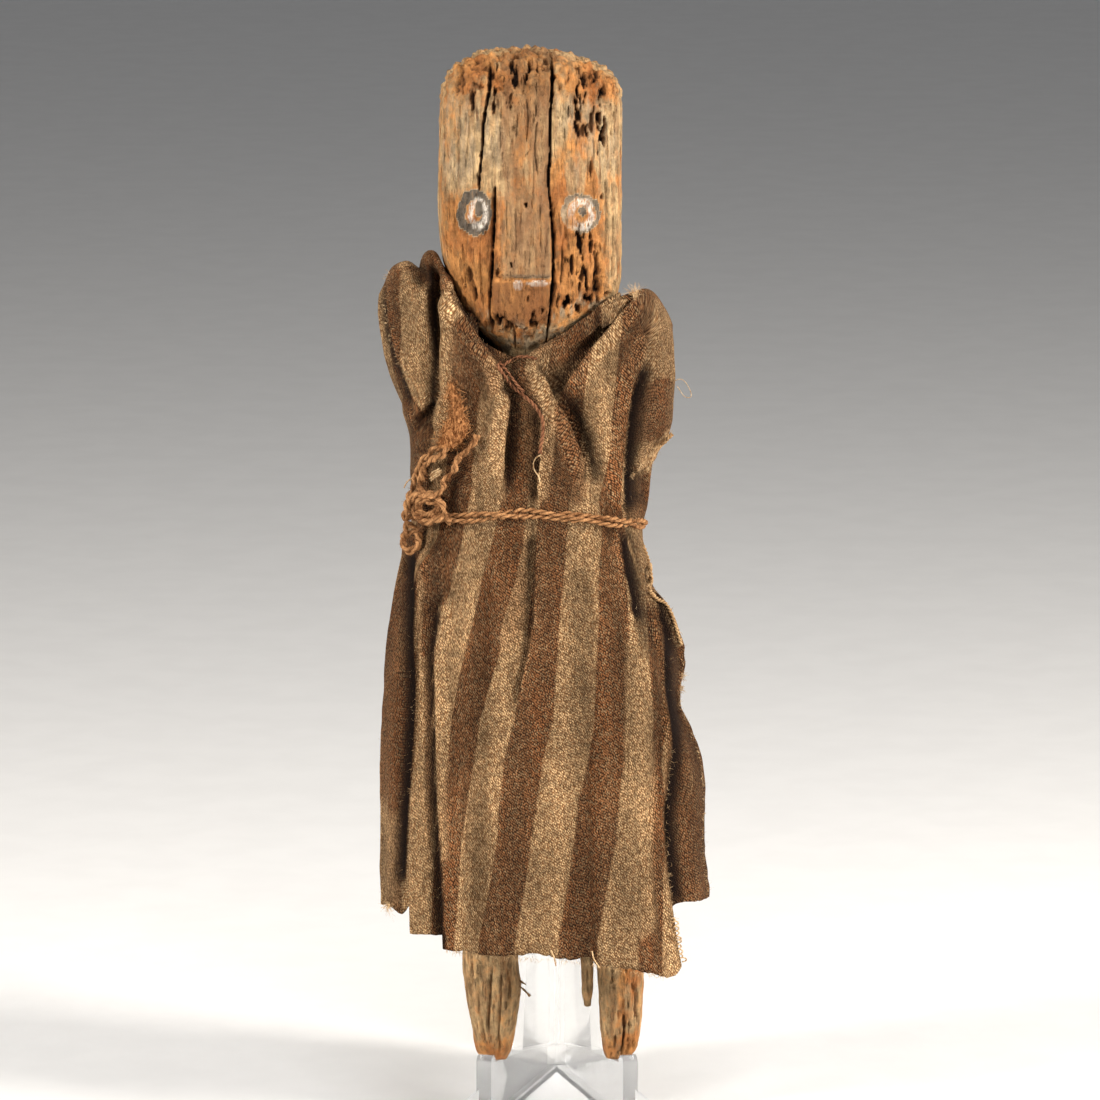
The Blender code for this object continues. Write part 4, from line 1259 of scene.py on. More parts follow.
    def closed(self, grid: Points, end: int) -> Points:
        """Rows added at one end of a loft that shrink to its middle, doming a little."""
        edge = grid[end]
        middle = edge.mean(axis=0)
        away = self.end_dome * UPRIGHT * (1 if end == -1 else -1)
        rows = [middle + (edge - middle) * share + away * (1 - share**2) for share in self.end_shares]
        if end == -1:
            return np.concatenate([grid, np.array(rows)])
        return np.concatenate([np.array(rows[::-1]), grid])

    def normals(self, grid: Points) -> Points:
        """Outward directions of a grid of rings."""
        around = np.roll(grid, -1, axis=1) - np.roll(grid, 1, axis=1)
        return unit(np.cross(around, np.gradient(grid, axis=0)))

    def head_grid(self) -> Points:
        """Body and head, with most rows on the head."""
        dense, run = self.profile(self.body)
        start = float(np.interp(self.head_from, dense[:, 0], run))
        on_body = np.linspace(0, start, self.body_rows)
        places = np.concatenate([on_body, np.linspace(start, 1, self.head_rows)[1:]])
        grid = self.loft(self.body, self.roundness, self.columns, places, self.head_crowding)
        return self.closed(self.closed(grid, -1), 0)

    def face_relief(self, spots: Points, front: Points) -> Points:
        """The nose plank and the chin block: flat areas that stand proud of the face, in millimetres."""
        x, y = spots[..., 0], spots[..., 1]
        nose_top, nose_tip = 128, 277
        ragged = 1.6 * lattice_noise(flat_place(spots) / 7, 61)
        plank = within(x, (493.5, 496.5), (549.5, 552))
        slope = np.clip((y - nose_top) / (nose_tip - nose_top), 0, 1)
        nose = plank * falling(y, 275.5, 279) * (0.2 + 2.0 * slope) * smooth_step(y, 110, 150)
        lower = np.interp(x, (490, 500, 512, 524, 536, 551), (312, 316, 322, 327, 322, 312)) + ragged
        chin = within(x, (490, 493), (549, 552))
        chin = chin * smooth_step(y, nose_tip, 281) * smooth_step(lower - y, -1.5, 1.5) * 1.5
        step = 0.5 * within(y, (281, 283), (288, 291)) * smooth_step(x, 512, 516)
        return (nose + chin + step * (chin > 0.5)) * front

    def weathered(self, grid: Points) -> tuple[Points, Points]:
        """The worn surface of a grid of rings.

        The surface moves along its normal by a slow waviness, grain ridges that are long along the height,
        open fissures where a ridged noise peaks, and the cracks, pits and raised areas that show.

        Args:
            grid: The smooth surface.

        Returns:
            The worn surface, and how deep its holes are.
        """
        normal = self.normals(grid)
        spots = VIEW.pixels(grid)
        height = grid[..., 2]
        front = smooth_step(-normal[..., 1], 0.25, 0.6)
        sideways = 1 - np.abs(normal[..., 2])
        worn = 0.5 * layered_noise(grid, (13, 13, 45), 11, 2)
        worn += sideways * 0.36 * layered_noise(grid, (2.0, 2.0, 22), 12)
        worn += sideways * 0.24 * layered_noise(grid, (1.1, 1.1, 3.4), 13)
        ridge = 1 - np.abs(layered_noise(grid, (2.2, 2.2, 60), 14, 2))
        fissure = 0.4 * smooth_step(ridge, 0.965, 1.0) * sideways * (0.3 + 0.7 * smooth_step(height, 60, 70))
        patches = smooth_step(layered_noise(grid, (16, 16, 22), 15, 2), 0.12, 0.5)
        holes = 1.1 * falling(cell_noise(grid / np.array((2.0, 2.0, 5.5)), 16), 0.12, 0.34) * patches
        top = smooth_step(height, 306, 322)
        knobs = cell_noise(grid / 3.6, 17) + 0.4 * cell_noise(grid / 1.9, 20)
        worn += top * (1.0 - 1.5 * knobs) * 2.0
        crumbs = top * smooth_step(layered_noise(grid, (3.2, 3.2, 4), 18, 2), 0.2, 0.6) * 1.4
        depth = fissure + holes * (1 - 0.75 * front * smooth_step(height, 236, 240)) + crumbs
        for crack in (*HEAD_CRACKS, *LEG_CRACKS):
            near = near_trace(spots, crack.trace, CRACK_REACH)
            depth[near] += crack.cut(spots[near]) * front[near]
        for pit in (*HEAD_PITS, *EATEN):
            near = pit.near(spots)
            depth[near] = np.maximum(depth[near], pit.cut(spots[near]) * front[near])
        raised = self.face_relief(spots, front)
        jaw = within(height, (230, 234), (238, 246))
        worn += jaw * 0.5 * layered_noise(grid, (2.2, 2.2, 2.6), 19)
        return grid + normal * (worn + raised - depth)[..., None], depth

    def zones(self, grid: Points, depth: Points) -> Points:
        """What is left of the paint: orange, grey and white, and a dark value for the painted shade in the
        holes and the darker chin and nose, four values a place.
        """
        normal = self.normals(grid)
        spots = VIEW.pixels(grid)
        x, y = spots[..., 0], spots[..., 1]
        front = smooth_step(-normal[..., 1], 0.1, 0.5)
        cloud = layered_noise(grid, (6, 6, 17), 21)
        fine = layered_noise(grid, (1.6, 1.6, 9), 22)
        wobble = y + 24 * cloud + 12 * fine
        on_head = falling(y, 346, 356)
        cap = falling(wobble, 76, 122)
        band = smooth_step(wobble, 160, 204)
        nose = smooth_step(x + 5 * fine, 496, 506) * falling(x, 549, 552) * falling(y, 276, 280)
        edge = smooth_step(x + 9 * cloud, 594, 612) + falling(x - 8 * cloud, 442, 456)
        jaw = smooth_step(wobble + 0.35 * np.abs(x - 520), 322, 340)
        left = (1 - 0.75 * nose) * (1 - 0.75 * np.clip(edge, 0, 1)) * (1 - 0.85 * jaw)
        orange = 0.50 * cap + (0.80 + 0.3 * cloud) * band * left
        orange = orange + 0.42 * smooth_step(cloud, -0.2, 0.35) * (1 - 0.6 * nose)
        warm_brow = Oval((572, 152), (16, 20)).bell(spots)
        warm_cap = Oval((578, 88), (12, 9)).bell(spots) + Oval((610, 84), (8, 12)).bell(spots)
        warm_middle = Oval((522, 142), (20, 40)).bell(spots) * smooth_step(fine + cloud, -0.3, 0.3)
        warm_cheek = Oval((588, 262), (16, 34)).bell(spots)
        orange = orange + 0.35 * (warm_middle + warm_brow + warm_cheek) + 0.4 * np.clip(warm_cap, 0, 1)
        grey = 0.55 * (1 - cap) * (1 - band) * (1 - 0.7 * warm_brow) * (1 - 0.6 * warm_middle)
        grey = grey + 0.42 * band * nose + 0.75 * jaw
        grey = np.minimum(grey * smooth_step(fine, -0.6, 0.4), 0.9)
        under_nose = within(y, (273, 276), (279, 282)) * smooth_step(x, 506, 516) * nose
        grey = np.maximum(grey, 0.95 * under_nose)
        orange, grey, white = self.eyes(spots, orange, grey)
        orange = orange * front + (1 - front) * (0.22 + 0.35 * smooth_step(cloud, -0.1, 0.6))
        grey = grey * front + (1 - front) * 0.35 * smooth_step(fine, -0.1, 0.5)
        leg_orange = 0.24 + 0.5 * smooth_step(x, 612, 626) * smooth_step(cloud, -0.3, 0.3)
        leg_orange = leg_orange + 0.35 * smooth_step(y, 1025, 1050)
        leg_grey = 0.04 + 0.1 * smooth_step(fine, -0.2, 0.5) * falling(x, 610, 622)
        orange = orange * on_head + (1 - on_head) * leg_orange
        grey = grey * on_head + (1 - on_head) * leg_grey
        chin = within(x, (491, 494), (549, 552)) * within(y, (280, 284), (318, 330))
        shaded = on_head * (0.38 * chin + 0.30 * nose) * (1 + 0.5 * fine)
        # Painted shade: darker the deeper the holes, cracks and pits are.
        dark = np.maximum(smooth_step(depth, 0.35, 2.5), shaded)
        return np.stack([np.clip(orange, 0, 1), np.clip(grey, 0, 1.3), white * front, dark], axis=-1)

    def eyes(self, spots: Points, orange: Points, grey: Points) -> tuple[Points, Points, Points]:
        """The painted eyes and the white spots.

        Args:
            spots: Pixels, one a place.
            orange: What is left of the orange.
            grey: What is left of the grey.

        Returns:
            The orange, the grey and the white with the eyes added.
        """
        white = np.zeros_like(grey)
        for ring, strength in EYE_RINGS:
            grey = np.where(ring.cover(spots, 31) > 0.5, 1.25 * strength, grey)
        for ring in EYE_WHITES:
            white = np.maximum(white, 0.95 * ring.cover(spots, 33))
        lost = LOST_WHITE.bell(spots)
        white = white * (1 - 0.95 * lost)
        orange = np.maximum(orange, 0.8 * lost)
        grey = grey * (1 - 0.8 * lost)
        for spot in PUPILS:
            pupil = spot.cover(spots, 34)
            white = white * (1 - pupil)
            grey = np.where(pupil > 0.5, 1.3, grey)
        for spot in WHITE_SPOTS:
            white = np.maximum(white, 1.1 * spot.cover(spots, 35))
        return orange, grey, white

    def make_twigs(self, material: Material) -> Object:
        """The torn fibres that stick out of the left leg as one object."""
        lines = [evenly(flowing(twig, 8), 0.3) for twig in self.twigs]
        piece = yarn_piece("torn_fibres", self.twig, lines, FRONT)
        piece.data.materials.append(material)
        give_colour(piece, "zones", np.tile((0.0, 0.0, 0.0, 0.3), (len(piece.data.vertices), 1)))
        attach(piece, "root")
        return piece

    def make(self, material: Material) -> Object:
        """The wood as one object."""
        parts = [self.head_grid()]
        for sections, columns, rows, crowding in (
            (self.left_leg, 96, 84, 1.2),
            (self.right_leg, 96, 84, 1.2),
            (self.splinter, 40, 50, 1.0),
        ):
            limb = self.loft(sections, self.leg_roundness, columns, np.linspace(0, 1, rows), crowding)
            parts.append(self.closed(limb, 0))
        points, faces, zones, used = [], [], [], 0
        for grid in parts:
            worn, depth = self.weathered(grid)
            rows, columns = grid.shape[:2]
            points.append(worn.reshape(-1, 3))
            zones.append(self.zones(grid, depth).reshape(-1, 4))
            faces += capped_tube_faces(rows, columns, used)
            used += rows * columns
        piece = mesh_piece("figure_wood", FRAME.place(np.vstack(points)), faces)
        give_colour(piece, "zones", np.vstack(zones))
        piece.data.materials.append(material)
        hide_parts("carved_wooden_figure")
        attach(piece, "root")
        return piece


# The cloth


class Over(Enum):
    """On which side of a trace the upper layer of a pleat lies."""

    LEFT = -1.0
    RIGHT = 1.0


@dataclass(frozen=True)
class Ridge:
    """A rounded ridge along a trace, or a groove where its height is negative, in millimetres.

    It acts through the whole cloth, front and back, or in front alone.
    """

    name: str
    trace: Trace
    height: float
    left: float
    right: float = 0.0
    through: bool = False

    def move(self, spots: Points) -> tuple[Points, Points, Points]:
        """No shift, and the height times exp(-(distance / width)^2), fading out at both ends."""
        signed, from_end, across = trace_distance(spots, self.trace)
        width = np.where(signed < 0, self.left, self.right or self.left)
        fade = smooth_step(from_end, 0, 7)
        return 0 * signed, self.height * np.exp(-((signed / width) ** 2)) * fade, across


@dataclass(frozen=True)
class Pleat:
    """An edge where the cloth laps over itself, in millimetres.

    Across the trace the cloth runs on, back and on again: its place is t - (a / pi) sin(pi t) for t from -1
    to 1, with a over 1, so the upper layer ends in a fold on the trace.
    """

    name: str
    trace: Trace
    over: Over
    lift: float
    drop: float
    overlap: float = 2.4
    spread: float = 7.0
    turn_back: float = 2.5
    edge_share: float = 0.37
    through: bool = False

    def move(self, spots: Points) -> tuple[Points, Points, Points]:
        """The shift across the trace, and the lift of the upper layer and the drop of the lower one."""
        signed, from_end, across = trace_distance(spots, self.trace)
        fade = smooth_step(from_end, 0, 8)
        half = self.overlap / 0.72
        t = signed * self.over.value / half
        wave = np.where(np.abs(t) < 1, -self.turn_back / math.pi * np.sin(math.pi * t), 0)
        centred = 0.36 * falling(np.abs(t), 0.7, 3.0)
        upper = smooth_step(t, -self.edge_share, self.edge_share)
        near = np.exp(-((signed / self.spread) ** 2))
        return (
            half * (wave + centred) * self.over.value * fade,
            (self.lift * upper - self.drop * (1 - upper)) * near * fade,
            across,
        )


LEFT, RIGHT = Over.LEFT, Over.RIGHT
SKIRT_FOLDS = (
    Pleat("left edge of the front panel", ((441, 590), (437, 625), (434, 655), (435, 690), (437, 766),
        (439, 818), (442, 872), (445, 935), (447, 995)), RIGHT, 2.4, 2.6, 2.8, 7.0),
    Pleat("second pleat", ((417, 545), (417.5, 566), (416.5, 640), (418, 683), (416, 733), (413, 777),
        (411, 826), (411, 872), (413, 933), (415, 990)), RIGHT, 2.8, 6.5, 3.0, 8.0),
    Ridge("ridge on the back left", ((399, 560), (391, 640), (388, 760), (388, 880), (390, 980)), 1.2, 2.6),
    Ridge("swell of the second layer", ((425, 580), (424, 700), (422, 860), (424, 980)), 1.0, 2.4),
    Pleat("edge that comes down through the belt", ((535, 522), (533.5, 580), (530, 632), (521, 676),
        (513, 712)), RIGHT, 1.0, 0.9, 0.9, 5.0, 1.05),
    Ridge("soft ridge one", ((470, 575), (462, 700), (458, 860), (456, 990)), 1.3, 4.0),
    Ridge("soft ridge two", ((505, 620), (497, 740), (492, 880), (490, 990)), 1.1, 5.0),
    Ridge("soft ridge three", ((560, 560), (560, 700), (556, 860), (553, 990)), 1.3, 5.0),
    Ridge("soft ridge four", ((598, 560), (604, 700), (606, 860), (604, 990)), 1.2, 4.0),
    Ridge("soft hollow between", ((580, 560), (582, 740), (580, 990)), -1.2, 4.0),
    Ridge("soft hollow on the left", ((484, 580), (478, 720), (474, 990)), -1.0, 4.0),
    Ridge("rounded ridge on the right", ((620, 535), (628, 590), (636, 640), (640, 700), (641, 760),
        (643, 840), (646, 930), (648, 990)), 2.0, 7.0, 3.0),
    Pleat("first edge on the right", ((620, 524), (622, 550), (627, 580), (632, 605), (636, 635),
        (639, 660)), LEFT, 1.4, 1.5, 2.0, 5.0),
    Pleat("edge of the slit", ((646, 575), (650, 596), (659, 632), (660, 681), (666, 718), (669, 749),
        (665, 785), (661, 816), (663, 847), (666, 877), (671, 908), (676, 938), (681, 966), (686, 1000)),
        LEFT, 1.8, 7.0, 3.0, 9.0),
    Ridge("small ridge one", ((638, 600), (645, 650), (650, 690)), 1.0, 1.6),
    Ridge("groove between", ((643, 600), (652, 650), (657, 700), (660, 790)), -1.1, 1.1),
    Ridge("small ridge two", ((650, 622), (659, 680), (665, 755)), 1.2, 1.5),
    Ridge("small ridge three", ((656, 800), (652, 860), (660, 950), (664, 990)), 0.8, 2.4),
    Ridge("ridge of the back flap", ((676, 640), (682, 700), (694, 760), (697, 820), (699, 880),
        (700, 960)), 1.8, 2.6),
    Pleat("rolled edge beside the slit", ((647, 590), (660, 598), (669, 620), (679, 645)),
        LEFT, 0.8, 1.2, 1.2, 3.5),
)
TORSO_FOLDS = (
    Ridge("lobe over the left arm", ((400, 255), (399, 280), (400, 312)), 2.0, 3.2, through=True),
    Ridge("lobe beside the head", ((431, 234), (431, 258), (428, 286)), 2.4, 3.2, through=True),
    Ridge("notch between the lobes", ((415, 232), (416, 262), (417, 296)), -4.6, 2.0, through=True),
    Ridge("deep crease inside the left arm", ((430, 250), (433, 300), (433, 330), (434, 368), (436, 412)),
        -7.5, 2.8),
    Pleat("right lip of the crease", ((438, 262), (441, 304), (441, 329), (438, 368), (436, 400),
        (433, 445)), RIGHT, 2.0, 3.0, 2.6, 6.0),
    Pleat("left lip of the crease", ((428, 258), (425, 291), (427, 329), (431, 368), (436, 405)),
        LEFT, 1.4, 2.2, 1.6, 5.0),
    Pleat("left sleeve's lower fold", ((438, 394), (426, 405), (417, 419), (412, 436)),
        LEFT, 1.5, 1.6, 2.2, 6.0),
    Pleat("rim of the left sleeve", ((386, 276), (387, 290), (390, 329), (399, 357), (409, 386),
        (416, 414)), RIGHT, 1.2, 1.6, 1.6, 5.0),
    Ridge("soft ridge down the left sleeve", ((405, 296), (408, 340), (414, 390)), 1.0, 3.6),
    Pleat("edge of the left flap", ((446, 280), (452, 296), (463, 313), (472, 327), (481, 342), (490, 354),
        (499, 366), (503, 382), (500, 404)), LEFT, 1.8, 2.4, 2.2, 6.0),
    Pleat("second lobe of the left flap", ((500, 372), (507, 387), (511, 397), (510, 412), (507, 431),
        (505, 455), (505, 492)), LEFT, 1.8, 2.2, 2.8, 7.0),
    Ridge("dark crevice", ((512, 384), (511, 420), (510, 440), (509, 484)), -2.8, 2.2),
    Pleat("right edge of the neck slit", ((636, 286), (631, 296), (620, 310), (607, 328), (590, 348),
        (579, 364), (570, 378), (560, 396)), RIGHT, 2.0, 2.4, 2.8, 8.0),
    Pleat("edge of the crossing flap", ((533, 358), (538, 366), (544, 376), (550, 387), (556, 400),
        (563, 412), (570, 425), (577, 440), (583, 458), (587, 488)), LEFT, 2.0, 2.4, 3.0, 7.0),
    Pleat("its left edge, down to the belt", ((544, 404), (541, 440), (540, 462), (537, 480), (536, 505)),
        RIGHT, 1.4, 1.2, 2.2, 5.0),
    Ridge("hollow under the flap", ((572, 390), (580, 420), (590, 462)), -1.8, 4.6),
    Ridge("fold beside the hollow", ((596, 350), (604, 400), (606, 470)), 1.2, 4.0),
    Pleat("crease inside the right arm", ((642, 322), (646, 345), (643, 366), (632, 384), (629, 405),
        (625, 432), (622, 459), (623, 485), (624, 522)), LEFT, 2.2, 5.0, 3.2, 8.0),
    Pleat("frayed edge of the right sleeve", ((676, 434), (669, 442), (660, 454), (648, 468), (636, 476),
        (624, 484)), LEFT, 1.8, 2.4, 1.8, 5.0),
    Ridge("ridge down the right sleeve", ((662, 310), (664, 350), (660, 400)), 0.9, 3.6),
    Ridge("swell of the left shoulder", ((452, 330), (455, 360), (458, 400)), 0.9, 5.0),
)


@dataclass(frozen=True)
class Gap:
    """Painted shade in a gap between two layers: its reach to the left and right in millimetres, and how
    dark it is.
    """

    trace: Trace
    left: float
    right: float
    strength: float

    def shade(self, spots: Points) -> Points:
        """How dark the painted shade is at each place: strength times exp(-(distance / reach)^3), fading out
        at both ends.
        """
        signed, from_end, _ = trace_distance(spots, self.trace)
        reach = np.where(signed < 0, self.left, self.right)
        fade = 0.3 + 0.7 * smooth_step(from_end, 0, 6)
        return self.strength * np.exp(-(np.abs(signed / reach) ** 3)) * fade


# Where painted shade darkens the gaps between layers of the cloth.
GAP_SHADES = (
    Gap(((415, 540), (415, 566), (414, 600), (413, 640), (415, 683), (413, 733), (410, 777), (407, 826),
        (405, 872), (403, 892)), 3.6, 0.5, 1.0),
    Gap(((441, 600), (437, 630), (433, 655), (433.5, 690), (435, 766), (437, 818), (440.5, 872),
        (444, 935), (446, 960)), 2.4, 0.4, 0.95),
    Gap(((440, 530), (438, 570), (436, 610), (433, 650)), 2.4, 1.0, 0.45),
    Gap(((619, 526), (622, 550), (627, 580), (632, 605), (637, 632)), 0.4, 5.0, 1.0),
    Gap(((643, 560), (647, 600), (652, 640), (656, 690), (660, 740), (659, 800)), 0.6, 1.0, 0.35),
    Gap(((651, 575), (656, 600), (664, 632), (665, 660), (666, 690), (671, 720), (673, 749), (669, 785),
        (665, 816), (667, 847), (670, 877), (675, 910)), 0.4, 4.4, 1.0),
    Gap(((684, 640), (690, 690), (694, 750), (700, 820), (702, 890)), 6.0, 5.0, 0.42),
    Gap(((431, 256), (434, 290), (436, 330), (437, 368), (435, 400), (432, 420)), 2.6, 0.7, 0.97),
    Gap(((386, 290), (387, 320), (394, 352), (403, 375), (410, 395), (413, 412)), 1.3, 0.4, 0.8),
    Gap(((411, 266), (416, 276), (421, 284), (424, 300)), 1.4, 0.5, 0.7),
    Gap(((505, 388), (511, 396), (510, 420), (508, 450), (507, 470), (507, 500)), 0.4, 3.0, 0.85),
    Gap(((499, 372), (503, 384), (500, 404)), 0.4, 1.2, 0.8),
    Gap(((557, 386), (566, 402), (576, 420), (585, 440), (591, 462), (592, 490)), 0.4, 3.6, 0.7),
    Gap(((618, 312), (604, 330), (588, 348), (575, 364), (566, 380), (558, 392)), 3.0, 0.4, 0.8),
    Gap(((450, 290), (462, 310), (472, 324), (482, 340), (491, 352), (500, 364)), 0.4, 2.2, 0.85),
    Gap(((645, 356), (640, 372), (635, 388), (630, 412), (627, 440), (625, 470), (625, 500), (626, 520)),
        0.4, 5.0, 1.0),
    Gap(((452, 530), (500, 524), (545, 524), (600, 529), (642, 534)), 0.7, 0.9, 0.45),
    Gap(((466, 445), (461, 470), (456, 500), (455, 518)), 3.0, 1.6, 0.5),
    Gap(((412, 432), (420, 424), (432, 404)), 0.5, 1.2, 0.6),
    Gap(((536, 400), (538, 440), (535, 480), (534, 512)), 1.6, 0.4, 0.5),
    Gap(((534, 530), (532, 580), (528, 640), (518, 690)), 1.3, 0.4, 0.30),
)


@dataclass(frozen=True)
class Patch:
    """A part of the cloth whose hue is known: its corners in the picture, and 1 for brown or -1 for tan."""

    corners: Trace
    hue: float
    soft: float = 1.5

    def cover(self, spots: Points) -> Points:
        """1 inside the corners, 0 outside, with a soft edge: the least distance inside of its sides."""
        ring = np.array(self.corners, float)
        inside = np.zeros(spots.shape[:-1], bool)
        nearest = np.full(spots.shape[:-1], np.inf)
        for start, end in zip(ring, np.roll(ring, -1, axis=0)):
            step = end - start
            share = np.clip(((spots - start) @ step) / (step @ step), 0, 1)
            gap = spots - start - share[..., None] * step
            nearest = np.minimum(nearest, np.hypot(gap[..., 0], gap[..., 1]))
            crosses = (start[1] > spots[..., 1]) != (end[1] > spots[..., 1])
            rise = end[1] - start[1] or 1e-9
            at = start[0] + (spots[..., 1] - start[1]) * step[0] / rise
            inside ^= crosses & (spots[..., 0] < at)
        return self.hue * smooth_step(np.where(inside, nearest, -nearest), -self.soft, self.soft)


PATCHES = (
    # Tan on the lit rounded ridge on the right: partly its dye, partly a painted highlight.
    Patch(((626, 640), (640, 640), (655, 760), (652, 860), (656, 930), (640, 940), (630, 860), (625, 760)),
        -0.9, 3.0),
    Patch(((400, 264), (416, 276), (425, 285), (428, 330), (431, 400), (424, 402), (411, 384), (404, 350),
        (398, 300)), -1, 2.5),
    Patch(((380, 270), (399, 262), (398, 300), (402, 340), (395, 345), (386, 320)), 0.9, 2.5),
    Patch(((417, 262), (422, 250), (434, 250), (447, 262), (449, 285), (441, 296), (438, 330), (430, 330),
        (426, 290)), 0.9, 2.0),
    Patch(((410, 420), (436, 398), (434, 446), (428, 480), (408, 480)), 0.8, 4.0),
    Patch(((437, 300), (452, 298), (452, 370), (448, 400), (441, 440), (434, 446)), -0.9, 4.0),
    Patch(((662, 600), (690, 640), (690, 700), (712, 760), (716, 900), (676, 915), (664, 860), (664, 800),
        (668, 745), (662, 690), (656, 640)), 0.9, 3.0),
    Patch(((694, 740), (704, 760), (706, 830), (696, 830), (692, 790)), -0.5, 4.0),
    Patch(((410, 540), (417, 560), (414, 640), (410, 740), (404, 800), (370, 800), (370, 560)), 0.9, 10.0),
    Patch(((370, 815), (398, 815), (399, 850), (396, 900), (370, 900)), -0.85, 12.0),
    # Tan on the lit edge of the second pleat: partly its dye, partly a painted highlight.
    Patch(((417, 560), (424, 590), (423, 640), (422, 930), (412, 930), (413, 780), (417, 640)), -0.9, 3.0),
    Patch(((424, 600), (436, 620), (434, 700), (434, 780), (430, 860), (424, 780), (423, 700)), 0.75, 3.0),
    # Tan on the lit left edge of the front panel: partly its dye, partly a painted highlight.
    Patch(((437, 640), (444, 640), (446, 760), (448, 860), (440, 860), (436, 760)), -0.7, 3.0),
    Patch(((530, 358), (540, 362), (560, 398), (556, 410), (544, 400), (536, 385)), -0.9, 3.0),
    Patch(((544, 404), (556, 410), (558, 440), (552, 470), (548, 500), (540, 500), (541, 450)), -0.8, 4.0),
    Patch(((558, 404), (580, 440), (586, 470), (582, 505), (552, 505), (556, 450)), 0.8, 4.0),
    Patch(((636, 296), (652, 286), (662, 300), (654, 330), (640, 372), (632, 372), (640, 330)), 0.85, 3.5),
    Patch(((656, 300), (672, 310), (675, 350), (673, 378), (652, 380), (650, 350)), -0.9, 4.0),
    Patch(((640, 382), (673, 380), (673, 430), (655, 440), (632, 446), (630, 410)), 0.85, 5.0),
    Patch(((673, 432), (668, 452), (640, 474), (624, 476), (626, 456), (652, 440)), -0.85, 4.0),
    Patch(((627, 480), (650, 470), (650, 512), (640, 520), (625, 518)), 0.8, 4.0),
    Patch(((474, 330), (486, 346), (503, 384), (500, 400), (486, 404), (470, 380), (464, 350)), 0.5, 7.0),
    Patch(((507, 392), (511, 400), (507, 440), (505, 500), (478, 500), (480, 440), (486, 400)), -0.8, 5.0),
    Patch(((512, 384), (528, 372), (541, 408), (540, 440), (537, 500), (508, 500), (510, 430)), 0.85, 3.0),
    Patch(((450, 290), (503, 340), (522, 354), (508, 366), (499, 366), (481, 342), (463, 313)), 0.9, 2.5),
    Patch(((528, 346), (560, 332), (607, 308), (622, 300), (606, 328), (582, 352), (560, 352), (540, 358)),
        0.55, 4.0),
    Patch(((542, 372), (582, 357), (566, 384), (556, 396)), -0.6, 4.0),
    Patch(((508, 650), (526, 632), (530, 640), (522, 676), (510, 700)), -0.7, 4.0),
    Patch(((500, 538), (531, 538), (531, 620), (520, 640), (500, 655), (490, 640), (497, 580)), 0.4, 4.0),
    Patch(((640, 540), (648, 556), (653, 578), (654, 592), (664, 600), (672, 616), (682, 645), (677, 647),
        (667, 624), (657, 608), (647, 602), (645, 580), (640, 558)), -1.0, 1.5),
)


CLOTH_MIDDLE = np.array([-6.0, 0.0, 0.0])


def for_edges(values: Points) -> Points:
    """Values a row of the cloth, the first and the last repeated for the rows of the turned-in edges."""
    return np.concatenate([values[:1]] * EDGE_ROWS + [values] + [values[-1:]] * EDGE_ROWS)


